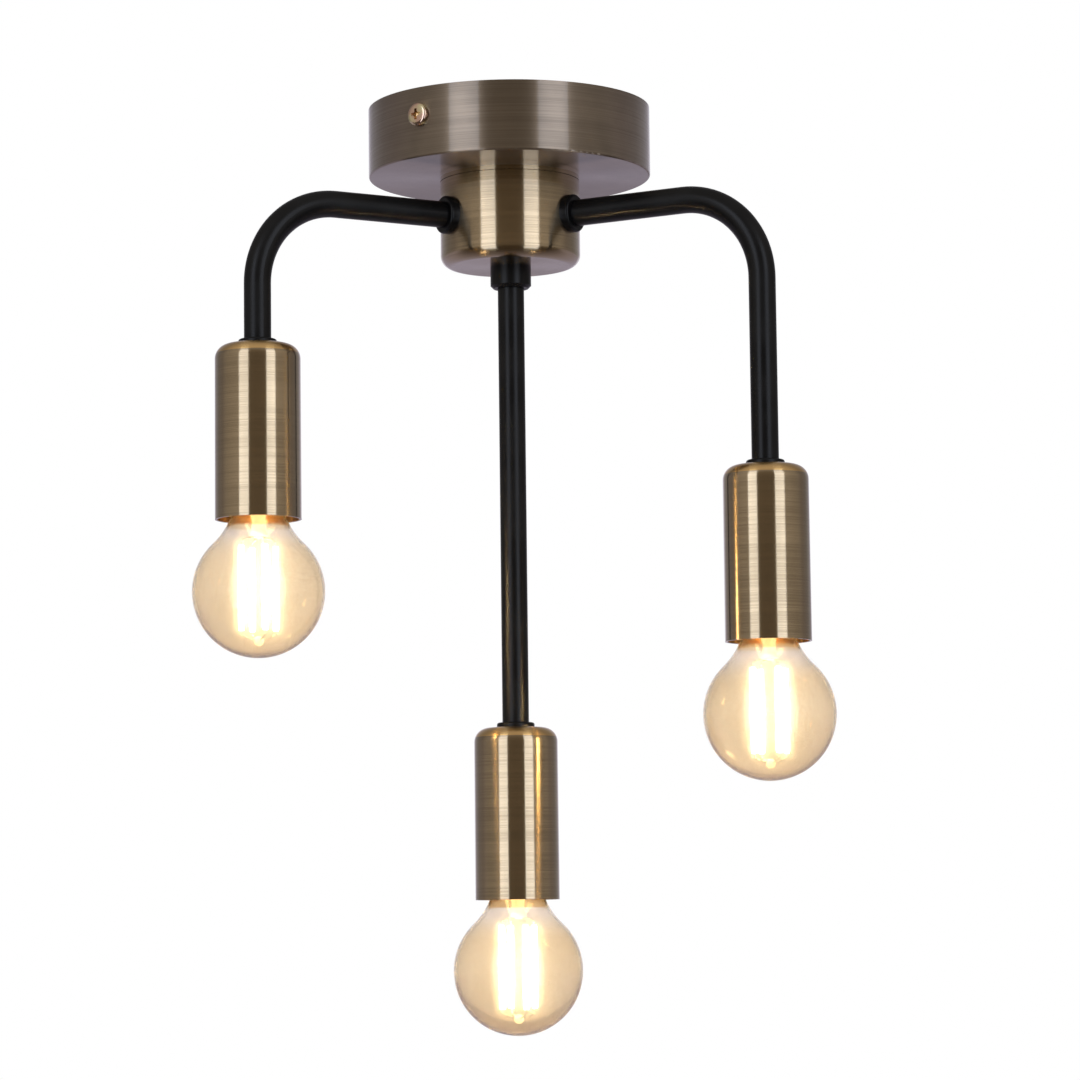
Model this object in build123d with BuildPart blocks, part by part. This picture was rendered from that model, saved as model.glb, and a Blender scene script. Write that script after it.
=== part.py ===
from build123d import *
import os
from math import atan2, cos, degrees, radians, sin, sqrt

# Semi flush ceiling light with three lamps. Millimetres, +Z up, the ceiling is the plane z = 0,
# the origin is the middle of the ceiling bracket, and the two bent arms reach towards -Y.

os.makedirs("parts", exist_ok=True)

# ---------------------------------------------------------------- driving dimensions

# canopy: a spun brass cup, open at the ceiling
canopy_diameter = 100.0
canopy_height = 24.5
canopy_wall = 1.0
canopy_edge_radius = 0.6

# ceiling bracket: a strap with two ears bent down inside the canopy
bracket_azimuth = 38.0  # turned this far from -Y towards -X
strap_width = 16.0
strap_thickness = 1.5
strap_bend_radius = 2.5
ear_length = 16.0
ear_clearance = 0.4
ear_hole_below_ceiling = 9.7
ceiling_hole_spacing = 70.0
ceiling_hole_diameter = 5.0

# canopy side screws and the earth screw
screw_diameter = 4.0
screw_length = 8.0
screw_head_diameter = 8.0
screw_head_height = 2.6
screw_crown_radius = 1.8
recess_length = 4.6
recess_width = 1.0
recess_depth = 1.5
earth_screw_offset = 20.0
earth_tag_diameter = 9.0
earth_tag_thickness = 0.8

# hub under the canopy
hub_diameter = 49.5
hub_lid_edge = 1.5
hub_seam = 0.25
hub_cup_height = 30.25
hub_wall = 1.2
hub_edge_radius = 4.0
lid_skirt_length = 3.5
lid_skirt_wall = 1.4

# hollow nipple through canopy and hub lid
nipple_diameter = 10.0
nipple_bore = 8.2
nipple_standout = 1.3
nipple_nut_flats = 14.0
nipple_nut_height = 4.0
nipple_washer_diameter = 20.0
nipple_washer_thickness = 1.2

# arms and drop tube
arm_azimuth = 60.0  # each side of -Y
arm_below_canopy = 15.4
arm_reach = 99.5
bend_radius = 30.0
tube_diameter = 9.3
tube_bore = 6.0
spigot_diameter = 8.0
spigot_standout = 1.0
tube_nut_flats = 13.0
tube_nut_height = 4.0

# black rings: ferrules at the hub, collars on the sleeves, coupling over the drop tube
ferrule_diameter = 13.4
ferrule_length = 2.5
ferrule_edge_radius = 0.9
ferrule_blank_length = 5.0
collar_diameter = 13.2
collar_height = 1.8
collar_edge_radius = 0.8
coupling_diameter = 14.4
coupling_height = 7.8
coupling_seat = 2.0
coupling_chamfer = 1.0

# lamp sleeves, and how far each mouth lies under the ceiling
sleeve_length = 60.0
sleeve_mouth_diameter = 29.4
sleeve_top_diameter = 29.2
sleeve_wall = 0.8
sleeve_shoulder_radius = 5.0
mouth_below_ceiling = {"left": 151.0, "right": 194.5, "drop": 280.0}

# lampholder, heights above the sleeve's mouth
holder_mouth_height = 7.0
holder_diameter = 24.8
holder_body_height = 27.0
holder_neck_diameter = 20.0
holder_neck_top = 52.0
holder_boss_diameter = 14.0
socket_lip_diameter = 18.4
socket_lip_depth = 5.0
socket_floor_thickness = 2.0
chamber_diameter = 15.2
chamber_height = 14.0
shell_wall = 0.35
shell_length = 15.5
shell_tag_diameter = 0.6
shell_tag_length = 12.0
contact_diameter = 5.2
contact_thickness = 0.6
contact_post_diameter = 1.8
contact_post_length = 6.0

# screw thread of the bulb and of the shell that it turns in
thread_pitch = 2.822
thread_crest_diameter = 13.89
thread_form_radius = 0.822
thread_turns = 4.0
shell_thread_turns = 5.75

# bulb, heights from the sleeve's mouth
globe_diameter = 45.0
globe_below_mouth = 24.6
glass_wall = 0.8
neck_radius = 7.9
neck_fillet_radius = 24.0
cap_wall = 0.4
cap_skirt_diameter = 17.2
cap_skirt_length = 3.4
cap_cone_length = 2.0
cap_thread_length = 13.6
insulator_height = 4.6
insulator_plug_depth = 1.5
insulator_tip_diameter = 6.6
tip_diameter = 4.8
tip_height = 1.4
stem_flare_diameter = 14.0
stem_tube_diameter = 4.6
stem_flare_height = 5.0
stem_flare_edge = 0.8
stem_tip_diameter = 2.4
stem_tip_length = 1.6
filament_count = 4
filament_start_angle = 25.0
filament_length = 30.0
filament_diameter = 1.5
filament_circle_radius = 6.2
filament_top_below_mouth = 8.4
filament_wire_diameter = 0.6
filament_post_length = 1.4

# leads
lamp_lead_diameter = 3.0
lamp_lead_circle_radius = 2.4
drop_lead_offset = 1.4
hub_lead_radius = 7.5
core_diameter = 1.8
earth_lead_radius = 5.0

# connector that joins the lamp leads, and the mains terminal block beside it
splice_length = 11.0
splice_width = 13.0
splice_height = 9.0
splice_below_ceiling = 4.6
splice_shift_across = -1.5
splice_pocket_diameter = 8.6
splice_pocket_depth = 3.0
block_length = 15.0
block_width = 21.0
block_height = 12.0
block_from_splice = 5.0
block_pole_pitch = 6.0
pole_screw_spacing = 7.5
moulding_corner_radius = 0.9
block_way_diameter = 3.0
block_way_depth = 6.0
pole_screw_diameter = 2.6
pole_screw_length = 3.4
pole_screw_slot = 0.5
block_screw_diameter = 2.4
block_screw_head_diameter = 4.2
block_screw_head_height = 1.6
block_screw_recess = 4.0

# clearances: on the radius for holes and threads, along the axis for gaps
thread_clearance = 0.05
hole_clearance = 0.1
seat_gap = 0.02
contact_spring_gap = 0.8
bulb_thread_clearance = 0.12
socket_clearance = 0.1
lead_clearance = 0.15
contact_gap = 0.3

# ---------------------------------------------------------------- places worked out from them

canopy_radius = canopy_diameter / 2
hub_radius = hub_diameter / 2
hub_inner_radius = hub_radius - hub_wall
lid_underside_z = -canopy_height - hub_lid_edge
cup_top_z = lid_underside_z - hub_seam
hub_bottom_z = cup_top_z - hub_cup_height
hub_floor_z = hub_bottom_z + hub_wall
arm_z = -canopy_height - arm_below_canopy
spigot_hole_radius = spigot_diameter / 2 + hole_clearance
canopy_floor_z = -canopy_height + canopy_wall
nipple_nut_bottom_z = canopy_floor_z + nipple_washer_thickness
nipple_top_z = nipple_nut_bottom_z + nipple_nut_height + nipple_standout
nipple_bottom_z = lid_underside_z - nipple_nut_height - nipple_standout
arm_shoulder = hub_radius + ferrule_length
arm_nut_face = sqrt(hub_inner_radius**2 - (tube_nut_flats / sqrt(3)) ** 2) - seat_gap
arm_spigot_length = arm_shoulder - arm_nut_face + tube_nut_height + spigot_standout
drop_shoulder_z = hub_bottom_z - coupling_seat
drop_spigot_length = coupling_seat + hub_wall + tube_nut_height + spigot_standout
tube_foot_height = sleeve_length + collar_height
holder_top = sleeve_length - sleeve_wall
globe_radius = globe_diameter / 2
neck_fillet_x = neck_radius + neck_fillet_radius
globe_to_neck_fillet = globe_radius + neck_fillet_radius
neck_end = sqrt(globe_to_neck_fillet**2 - neck_fillet_x**2) - globe_below_mouth
cap_skirt_top = neck_end + hole_clearance
cap_skirt_bottom = cap_skirt_top - cap_skirt_length
cap_cone_top = cap_skirt_top + cap_cone_length
cap_top = cap_cone_top + cap_thread_length
thread_path_radius = thread_crest_diameter / 2 - thread_form_radius
thread_core_radius = thread_path_radius + seat_gap
thread_start = cap_cone_top + thread_form_radius
insulator_top = cap_top + insulator_height
tip_bottom = insulator_top + seat_gap
tip_top = tip_bottom + tip_height
contact_bottom = tip_top + contact_gap
socket_floor_height = contact_bottom + contact_thickness + contact_spring_gap
chamber_floor = socket_floor_height + socket_floor_thickness
chamber_top = chamber_floor + chamber_height
foot_spigot_length = tube_foot_height - chamber_top
lead_end_height = contact_bottom + contact_post_length
shell_bottom = holder_mouth_height + socket_lip_depth
shell_inner_radius = thread_core_radius + bulb_thread_clearance
shell_outer_radius = thread_crest_diameter / 2 + bulb_thread_clearance + shell_wall
stem_top = neck_end - stem_flare_edge
stem_tip_bottom = -filament_top_below_mouth + filament_wire_diameter + filament_post_length
splice_bottom_z = -splice_below_ceiling - splice_height
lead_top_z = splice_bottom_z + splice_pocket_depth - lead_clearance
way_z = -strap_thickness - block_height / 2
block_face_along = splice_length / 2 + block_from_splice
block_middle_along = block_face_along + block_length / 2
earth_turn_along = -earth_screw_offset - earth_tag_diameter / 2

lamp_places = {
    "left": (-arm_reach * sin(radians(arm_azimuth)), -arm_reach * cos(radians(arm_azimuth))),
    "right": (arm_reach * sin(radians(arm_azimuth)), -arm_reach * cos(radians(arm_azimuth))),
    "drop": (0.0, 0.0),
}
arm_sides = {"left": -1, "right": 1}

strap_along = Vector(-sin(radians(bracket_azimuth)), -cos(radians(bracket_azimuth)), 0)
strap_across = Vector(-strap_along.Y, strap_along.X, 0)
ear_reach = sqrt((canopy_radius - canopy_wall) ** 2 - (strap_width / 2) ** 2) - ear_clearance

# ---------------------------------------------------------------- helpers


def finish(piece, name):
    """Label a finished piece and write its STEP file."""
    piece.part.label = name
    export_step(piece.part, f"parts/{name}.step")


def upright(x, y, z):
    """Plane through a point, standing up: local x is +X and local y is +Z."""
    return Plane(origin=(x, y, z), x_dir=(1, 0, 0), z_dir=(0, -1, 0))


def level(x, y, z):
    """Horizontal plane through a point."""
    return Plane(origin=(x, y, z), x_dir=(1, 0, 0), z_dir=(0, 0, 1))


def strap_level(z):
    """Horizontal plane at height z whose local x runs along the bracket's strap."""
    return Plane(origin=(0, 0, z), x_dir=strap_along, z_dir=(0, 0, 1))


def strap_point(along, across, z):
    """A point given along and across the bracket's strap."""
    return strap_along * along + strap_across * across + Vector(0, 0, z)


def strap_facing(along, across, z):
    """Plane at a point of the strap's frame that faces along the strap; local x is across it."""
    return Plane(origin=strap_point(along, across, z), x_dir=strap_across, z_dir=strap_along)


def arm_point(side, distance, z):
    """A point in the vertical plane of one arm, at a distance from the light's axis."""
    azimuth = radians(arm_azimuth)
    return Vector(side * distance * sin(azimuth), -distance * cos(azimuth), z)


def across_arm(side, distance, z):
    """Plane square to an arm's level run, facing away from the light's axis."""
    return Plane(origin=arm_point(side, distance, z), z_dir=arm_point(side, 1, 0))


def upright_axis(x, y):
    """Vertical axis through a point."""
    return Axis((x, y, 0), (0, 0, 1))


def hexagon(flats):
    """Outline of a nut, by the width across its flats."""
    return RegularPolygon(radius=flats / 2, side_count=6, major_radius=False)


def ring(outer_radius, inner_radius):
    """Ring outline."""
    Circle(outer_radius)
    Circle(inner_radius, mode=Mode.SUBTRACT)


def far_rim(piece, direction, rim_radius):
    """The circular edge of a piece that lies furthest along a direction, with a given radius."""
    rims = piece.edges().filter_by(GeomType.CIRCLE)
    rims = rims.filter_by(lambda edge: abs(edge.radius - rim_radius) < seat_gap)
    return max(rims, key=lambda edge: edge.arc_center.dot(direction))


def pan_head_screw(piece, seat, length):
    """Add a pan head screw with a cross recess; seat is the plane under the head, facing out."""
    with BuildSketch(seat) as head:
        Circle(screw_head_diameter / 2)
    extrude(head.sketch, amount=screw_head_height)
    fillet(far_rim(piece, seat.z_dir, screw_head_diameter / 2), screw_crown_radius)
    with BuildSketch(seat) as shank:
        Circle(screw_diameter / 2)
    extrude(shank.sketch, amount=-length)
    with BuildSketch(seat.offset(screw_head_height)) as recess:
        Rectangle(recess_length, recess_width)
        Rectangle(recess_width, recess_length)
    extrude(recess.sketch, amount=-recess_depth, mode=Mode.SUBTRACT)


# ---------------------------------------------------------------- ceiling bracket

with BuildPart() as ceiling_bracket:
    with BuildSketch(Plane(origin=(0, 0, 0), x_dir=strap_along, z_dir=-strap_across)):
        with Locations((0, -ear_length / 2)):
            Rectangle(2 * ear_reach, ear_length)
        with Locations((0, -ear_length / 2 - strap_thickness)):
            Rectangle(2 * (ear_reach - strap_thickness), ear_length, mode=Mode.SUBTRACT)
    extrude(amount=strap_width / 2, both=True)
    bends = ceiling_bracket.edges().filter_by(Axis((0, 0, 0), strap_across)).group_by(Axis.Z)[-1]
    fillet(bends, strap_bend_radius)
    with BuildSketch(strap_level(0)):
        with Locations((ceiling_hole_spacing / 2, 0), (-ceiling_hole_spacing / 2, 0)):
            Circle(ceiling_hole_diameter / 2)
        with Locations((-earth_screw_offset, 0)):
            Circle(screw_diameter / 2 + thread_clearance)
        with Locations((block_middle_along, -block_pole_pitch / 2)):
            Circle(block_screw_diameter / 2 + thread_clearance)
    extrude(amount=-strap_thickness, mode=Mode.SUBTRACT)
    with BuildSketch(strap_facing(0, 0, -ear_hole_below_ceiling)):
        Circle(screw_diameter / 2 + thread_clearance)
    extrude(amount=canopy_radius, both=True, mode=Mode.SUBTRACT)
finish(ceiling_bracket, "ceiling_bracket")

# ---------------------------------------------------------------- canopy and its side screws

with BuildPart() as canopy:
    with BuildSketch(level(0, 0, -canopy_height)):
        Circle(canopy_radius)
    extrude(amount=canopy_height)
    fillet(canopy.edges().group_by(Axis.Z)[0], canopy_edge_radius)
    offset(openings=canopy.faces().sort_by(Axis.Z)[-1], amount=-canopy_wall)
    with BuildSketch(level(0, 0, -canopy_height)):
        Circle(nipple_diameter / 2 + hole_clearance)
    extrude(amount=canopy_wall, mode=Mode.SUBTRACT)
    with BuildSketch(strap_facing(0, 0, -ear_hole_below_ceiling)):
        Circle(screw_diameter / 2 + hole_clearance)
    extrude(amount=canopy_radius, both=True, mode=Mode.SUBTRACT)
finish(canopy, "canopy")

with BuildPart() as canopy_screws:
    for facing in (1, -1):
        head_seat = strap_point(facing * (canopy_radius + seat_gap), 0, -ear_hole_below_ceiling)
        head_plane = Plane(origin=head_seat, x_dir=(0, 0, 1), z_dir=strap_along * facing)
        pan_head_screw(canopy_screws, head_plane, screw_length)
finish(canopy_screws, "canopy_screws")

# ---------------------------------------------------------------- earth screw, tag and lead

with BuildPart() as earth_screw:
    tag_underside = strap_point(-earth_screw_offset, 0, -strap_thickness - earth_tag_thickness - seat_gap)
    head_plane = Plane(origin=tag_underside, x_dir=strap_along, z_dir=(0, 0, -1))
    pan_head_screw(earth_screw, head_plane, -tag_underside.Z)
finish(earth_screw, "earth_screw")

with BuildPart() as earth_lead:
    earth_tag_middle_z = -strap_thickness - earth_tag_thickness / 2
    with BuildLine() as earth_route:
        FilletPolyline(
            strap_point(block_face_along + block_way_depth / 2, block_pole_pitch, way_z),
            strap_point(earth_turn_along, block_pole_pitch, way_z),
            strap_point(earth_turn_along, block_pole_pitch, earth_tag_middle_z),
            radius=earth_lead_radius,
        )
    with BuildSketch(Plane(origin=earth_route.line @ 0, z_dir=earth_route.line % 0)):
        Circle(core_diameter / 2)
    sweep(path=earth_route.line)
    with BuildSketch(strap_level(-strap_thickness)):
        with Locations((-earth_screw_offset, 0)):
            Circle(earth_tag_diameter / 2)
        tongue_end = earth_turn_along - core_diameter / 2
        with BuildLine():
            Polyline(
                (-earth_screw_offset, earth_tag_diameter / 2),
                (-earth_screw_offset, -earth_tag_diameter / 2),
                (tongue_end, block_pole_pitch - core_diameter / 2),
                (tongue_end, block_pole_pitch + core_diameter / 2),
                (earth_turn_along + core_diameter / 2, block_pole_pitch + core_diameter / 2),
                close=True,
            )
        make_face()
        with Locations((-earth_screw_offset, 0)):
            Circle(screw_diameter / 2 + hole_clearance, mode=Mode.SUBTRACT)
    extrude(amount=-earth_tag_thickness)
finish(earth_lead, "earth_lead")

# ---------------------------------------------------------------- terminal block and lead connector

with BuildPart() as terminal_block:
    with BuildSketch(strap_level(-strap_thickness)):
        with Locations((block_middle_along, 0)):
            RectangleRounded(block_length, block_width, moulding_corner_radius)
    extrude(amount=-block_height)
    for way_end, way_direction in ((block_face_along, 1), (block_face_along + block_length, -1)):
        with BuildSketch(strap_facing(way_end, 0, way_z)):
            with GridLocations(block_pole_pitch, 1, 3, 1):
                Circle(block_way_diameter / 2)
        extrude(amount=way_direction * block_way_depth, mode=Mode.SUBTRACT)
    with BuildSketch(strap_level(-strap_thickness - block_height)):
        with Locations((block_middle_along, 0)):
            with GridLocations(pole_screw_spacing, block_pole_pitch, 2, 3):
                Circle(pole_screw_diameter / 2 + thread_clearance)
    extrude(amount=block_height / 2 - block_way_diameter / 2, mode=Mode.SUBTRACT)
    with BuildSketch(strap_level(-strap_thickness)):
        with Locations((block_middle_along, -block_pole_pitch / 2)):
            Circle(block_screw_diameter / 2 + hole_clearance)
    extrude(amount=-block_height, mode=Mode.SUBTRACT)
    with BuildSketch(strap_level(-strap_thickness - block_height)):
        with Locations((block_middle_along, -block_pole_pitch / 2)):
            Circle(block_screw_head_diameter / 2 + hole_clearance)
    extrude(amount=block_screw_recess, mode=Mode.SUBTRACT)
finish(terminal_block, "terminal_block")

with BuildPart() as terminal_screws:
    with BuildSketch(strap_level(-strap_thickness - block_height)):
        with Locations((block_middle_along, 0)):
            with GridLocations(pole_screw_spacing, block_pole_pitch, 2, 3):
                Circle(pole_screw_diameter / 2)
    extrude(amount=pole_screw_length)
    with BuildSketch(strap_level(-strap_thickness - block_height)):
        with Locations((block_middle_along, 0)):
            with GridLocations(pole_screw_spacing, block_pole_pitch, 2, 3):
                Rectangle(pole_screw_diameter, pole_screw_slot)
    extrude(amount=pole_screw_slot, mode=Mode.SUBTRACT)
    block_head_z = -strap_thickness - block_height + block_screw_recess
    with BuildSketch(strap_level(block_head_z)):
        with Locations((block_middle_along, -block_pole_pitch / 2)):
            Circle(block_screw_head_diameter / 2)
    extrude(amount=-block_screw_head_height)
    with BuildSketch(strap_level(block_head_z)):
        with Locations((block_middle_along, -block_pole_pitch / 2)):
            Circle(block_screw_diameter / 2)
    extrude(amount=-block_head_z)
    with BuildSketch(strap_level(block_head_z - block_screw_head_height)):
        with Locations((block_middle_along, -block_pole_pitch / 2)):
            Rectangle(block_screw_head_diameter, pole_screw_slot)
    extrude(amount=pole_screw_slot, mode=Mode.SUBTRACT)
finish(terminal_screws, "terminal_screws")

with BuildPart() as lead_splice:
    with BuildSketch(strap_level(splice_bottom_z)):
        with Locations((0, splice_shift_across)):
            RectangleRounded(splice_length, splice_width, moulding_corner_radius)
    extrude(amount=splice_height)
    with BuildSketch(strap_level(splice_bottom_z)):
        Circle(splice_pocket_diameter / 2)
    extrude(amount=splice_pocket_depth, mode=Mode.SUBTRACT)
    with BuildSketch(strap_facing(splice_length / 2, 0, way_z)):
        with Locations((0, 0), (-block_pole_pitch, 0)):
            Circle(core_diameter / 2 + lead_clearance)
    extrude(amount=-block_way_diameter, mode=Mode.SUBTRACT)
finish(lead_splice, "lead_splice")

with BuildPart() as supply_leads:
    with BuildSketch(strap_facing(splice_length / 2 - block_way_diameter + lead_clearance, 0, way_z)):
        with Locations((0, 0), (-block_pole_pitch, 0)):
            Circle(core_diameter / 2)
    extrude(amount=block_way_diameter + block_from_splice + block_way_depth / 2)
finish(supply_leads, "supply_leads")

# ---------------------------------------------------------------- hub, nipple and their fasteners

with BuildPart() as hub_lid:
    with BuildSketch(level(0, 0, lid_underside_z)):
        ring(hub_radius, nipple_diameter / 2 + hole_clearance)
    extrude(amount=hub_lid_edge)
    with BuildSketch(level(0, 0, lid_underside_z)):
        lid_skirt_radius = hub_inner_radius - hole_clearance
        ring(lid_skirt_radius, lid_skirt_radius - lid_skirt_wall)
    extrude(amount=-lid_skirt_length)
finish(hub_lid, "hub_lid")

with BuildPart() as hub_cup:
    with BuildSketch(level(0, 0, hub_bottom_z)):
        Circle(hub_radius)
    extrude(amount=hub_cup_height)
    fillet(hub_cup.edges().group_by(Axis.Z)[0], hub_edge_radius)
    offset(openings=hub_cup.faces().sort_by(Axis.Z)[-1], amount=-hub_wall)
    with BuildSketch(level(0, 0, hub_bottom_z)):
        Circle(spigot_hole_radius)
    extrude(amount=hub_wall, mode=Mode.SUBTRACT)
    for side in arm_sides.values():
        with BuildSketch(across_arm(side, 0, arm_z)):
            Circle(spigot_hole_radius)
        extrude(amount=hub_radius, mode=Mode.SUBTRACT)
finish(hub_cup, "hub_cup")

with BuildPart() as hub_nipple:
    with BuildSketch(level(0, 0, nipple_bottom_z)):
        ring(nipple_diameter / 2, nipple_bore / 2)
    extrude(amount=nipple_top_z - nipple_bottom_z)
finish(hub_nipple, "hub_nipple")

with BuildPart() as nipple_washer:
    with BuildSketch(level(0, 0, canopy_floor_z)):
        ring(nipple_washer_diameter / 2, nipple_diameter / 2 + hole_clearance)
    extrude(amount=nipple_washer_thickness)
finish(nipple_washer, "nipple_washer")

with BuildPart() as nipple_nuts:
    for nut_bottom_z in (nipple_nut_bottom_z, lid_underside_z - nipple_nut_height):
        with BuildSketch(level(0, 0, nut_bottom_z)):
            hexagon(nipple_nut_flats)
            Circle(nipple_diameter / 2 + thread_clearance, mode=Mode.SUBTRACT)
        extrude(amount=nipple_nut_height)
finish(nipple_nuts, "nipple_nuts")

# ---------------------------------------------------------------- arms and drop tube

for name, side in arm_sides.items():
    foot_z = tube_foot_height - mouth_below_ceiling[name]
    with BuildPart() as arm:
        with BuildLine() as centreline:
            FilletPolyline(
                arm_point(side, arm_shoulder, arm_z),
                arm_point(side, arm_reach, arm_z),
                arm_point(side, arm_reach, foot_z),
                radius=bend_radius,
            )
        with BuildSketch(across_arm(side, arm_shoulder, arm_z)):
            ring(tube_diameter / 2, tube_bore / 2)
        sweep(path=centreline.line)
        with BuildSketch(across_arm(side, arm_shoulder, arm_z)):
            ring(spigot_diameter / 2, tube_bore / 2)
        extrude(amount=-arm_spigot_length)
        with BuildSketch(level(*lamp_places[name], foot_z)):
            ring(spigot_diameter / 2, tube_bore / 2)
        extrude(amount=-foot_spigot_length)
    finish(arm, f"arm_{name}")

    with BuildPart() as ferrule:
        with BuildSketch(across_arm(side, arm_shoulder - seat_gap, arm_z)):
            Circle(ferrule_diameter / 2)
        extrude(amount=-ferrule_blank_length)
        ferrule_front = arm_point(side, 1, 0)
        fillet(far_rim(ferrule, ferrule_front, ferrule_diameter / 2), ferrule_edge_radius)
        with BuildSketch(across_arm(side, arm_shoulder, arm_z)):
            Circle(spigot_hole_radius)
        extrude(amount=-ferrule_blank_length, mode=Mode.SUBTRACT)
        with BuildSketch(level(0, 0, hub_bottom_z)):
            Circle(hub_radius + seat_gap)
        extrude(amount=hub_cup_height, mode=Mode.SUBTRACT)
    finish(ferrule, f"ferrule_{name}")

with BuildPart() as drop_tube:
    drop_foot_z = tube_foot_height - mouth_below_ceiling["drop"]
    with BuildSketch(level(0, 0, drop_foot_z)):
        ring(tube_diameter / 2, tube_bore / 2)
    extrude(amount=drop_shoulder_z - drop_foot_z)
    with BuildSketch(level(0, 0, drop_shoulder_z)):
        ring(spigot_diameter / 2, tube_bore / 2)
    extrude(amount=drop_spigot_length)
    with BuildSketch(level(0, 0, drop_foot_z)):
        ring(spigot_diameter / 2, tube_bore / 2)
    extrude(amount=-foot_spigot_length)
finish(drop_tube, "drop_tube")

with BuildPart() as drop_coupling:
    with BuildSketch(level(0, 0, hub_bottom_z)):
        Circle(coupling_diameter / 2)
    extrude(amount=-coupling_height)
    chamfer(drop_coupling.edges().group_by(Axis.Z)[0], coupling_chamfer)
    with BuildSketch(level(0, 0, hub_bottom_z)):
        Circle(spigot_hole_radius)
    extrude(amount=-coupling_height, mode=Mode.SUBTRACT)
    with BuildSketch(level(0, 0, drop_shoulder_z)):
        Circle(tube_diameter / 2 + hole_clearance)
    extrude(amount=-coupling_height, mode=Mode.SUBTRACT)
finish(drop_coupling, "drop_coupling")

with BuildPart() as tube_nuts:
    nut_seats = [level(0, 0, hub_floor_z + tube_nut_height)]
    nut_seats += [across_arm(side, arm_nut_face, arm_z) for side in arm_sides.values()]
    for nut_seat in nut_seats:
        with BuildSketch(nut_seat):
            hexagon(tube_nut_flats)
            Circle(spigot_diameter / 2 + thread_clearance, mode=Mode.SUBTRACT)
        extrude(amount=-tube_nut_height)
finish(tube_nuts, "tube_nuts")

# ---------------------------------------------------------------- leads inside the tubes


def make_lamp_lead(name, points, radius):
    """Round twin lead along straight runs joined by arcs."""
    with BuildPart() as lead:
        with BuildLine() as route:
            FilletPolyline(*points, radius=radius)
        with BuildSketch(Plane(origin=route.line @ 0, z_dir=route.line % 0)):
            Circle(lamp_lead_diameter / 2)
        sweep(path=route.line)
    finish(lead, f"lamp_lead_{name}")


for name, side in arm_sides.items():
    lead_points = [
        arm_point(side, arm_reach, lead_end_height - mouth_below_ceiling[name]),
        arm_point(side, arm_reach, arm_z),
        arm_point(side, lamp_lead_circle_radius, arm_z),
        arm_point(side, lamp_lead_circle_radius, lead_top_z),
    ]
    make_lamp_lead(name, lead_points, [bend_radius, hub_lead_radius])

with BuildPart() as drop_lead:
    drop_lead_end_z = lead_end_height - mouth_below_ceiling["drop"]
    with BuildSketch(level(0, drop_lead_offset, drop_lead_end_z)):
        Circle(lamp_lead_diameter / 2)
    extrude(amount=lead_top_z - drop_lead_end_z)
finish(drop_lead, "lamp_lead_drop")

# ---------------------------------------------------------------- lamps: collar, sleeve and holder


def make_collar(name, x, y, mouth_z):
    """Black flanged ring between a tube's shoulder and the sleeve's top."""
    with BuildPart() as collar:
        with BuildSketch(level(x, y, mouth_z + sleeve_length)):
            Circle(collar_diameter / 2)
        extrude(amount=collar_height)
        fillet(collar.edges().group_by(Axis.Z)[-1], collar_edge_radius)
        with BuildSketch(level(x, y, mouth_z + sleeve_length)):
            Circle(spigot_hole_radius)
        extrude(amount=collar_height, mode=Mode.SUBTRACT)
    finish(collar, f"collar_{name}")


def make_sleeve(name, x, y, mouth_z):
    """Brass sleeve: a slightly tapered cup with a rounded shoulder, open at its mouth."""
    with BuildPart() as sleeve:
        with BuildSketch(upright(x, y, mouth_z)):
            with BuildLine():
                Polyline(
                    (0, 0),
                    (sleeve_mouth_diameter / 2, 0),
                    (sleeve_top_diameter / 2, sleeve_length),
                    (0, sleeve_length),
                    close=True,
                )
            make_face()
        revolve(axis=upright_axis(x, y))
        fillet(sleeve.edges().group_by(Axis.Z)[-1], sleeve_shoulder_radius)
        offset(openings=sleeve.faces().sort_by(Axis.Z)[0], amount=-sleeve_wall)
        with BuildSketch(level(x, y, mouth_z + sleeve_length)):
            Circle(spigot_hole_radius)
        extrude(amount=-sleeve_wall, mode=Mode.SUBTRACT)
    finish(sleeve, f"sleeve_{name}")


def make_lampholder(name, x, y, mouth_z):
    """Moulded lampholder: socket below, terminal chamber above, boss that takes the tube's spigot."""
    neck_bottom = holder_mouth_height + holder_body_height
    outline = [
        (0, holder_mouth_height),
        (holder_diameter / 2, holder_mouth_height),
        (holder_diameter / 2, neck_bottom),
        (holder_neck_diameter / 2, neck_bottom + (holder_diameter - holder_neck_diameter) / 2),
        (holder_neck_diameter / 2, holder_neck_top),
        (holder_boss_diameter / 2, holder_neck_top),
        (holder_boss_diameter / 2, holder_top),
        (0, holder_top),
    ]
    with BuildPart() as lampholder:
        with BuildSketch(upright(x, y, mouth_z)):
            with BuildLine():
                Polyline(*outline, close=True)
            make_face()
        revolve(axis=upright_axis(x, y))
        with BuildSketch(level(x, y, mouth_z + holder_mouth_height)):
            Circle(socket_lip_diameter / 2)
        extrude(amount=socket_lip_depth, mode=Mode.SUBTRACT)
        with BuildSketch(level(x, y, mouth_z + holder_mouth_height)):
            Circle(shell_outer_radius + socket_clearance)
        extrude(amount=socket_floor_height - holder_mouth_height, mode=Mode.SUBTRACT)
        with BuildSketch(level(x, y, mouth_z + socket_floor_height)):
            Circle(contact_post_diameter / 2 + hole_clearance)
            with Locations((0, shell_outer_radius - shell_wall)):
                Circle(shell_tag_diameter / 2 + hole_clearance)
        extrude(amount=socket_floor_thickness, mode=Mode.SUBTRACT)
        with BuildSketch(level(x, y, mouth_z + chamber_floor)):
            Circle(chamber_diameter / 2)
        extrude(amount=chamber_height, mode=Mode.SUBTRACT)
        with BuildSketch(level(x, y, mouth_z + chamber_top)):
            Circle(spigot_diameter / 2 + thread_clearance)
        extrude(amount=holder_top - chamber_top, mode=Mode.SUBTRACT)
    finish(lampholder, f"lampholder_{name}")


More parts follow.
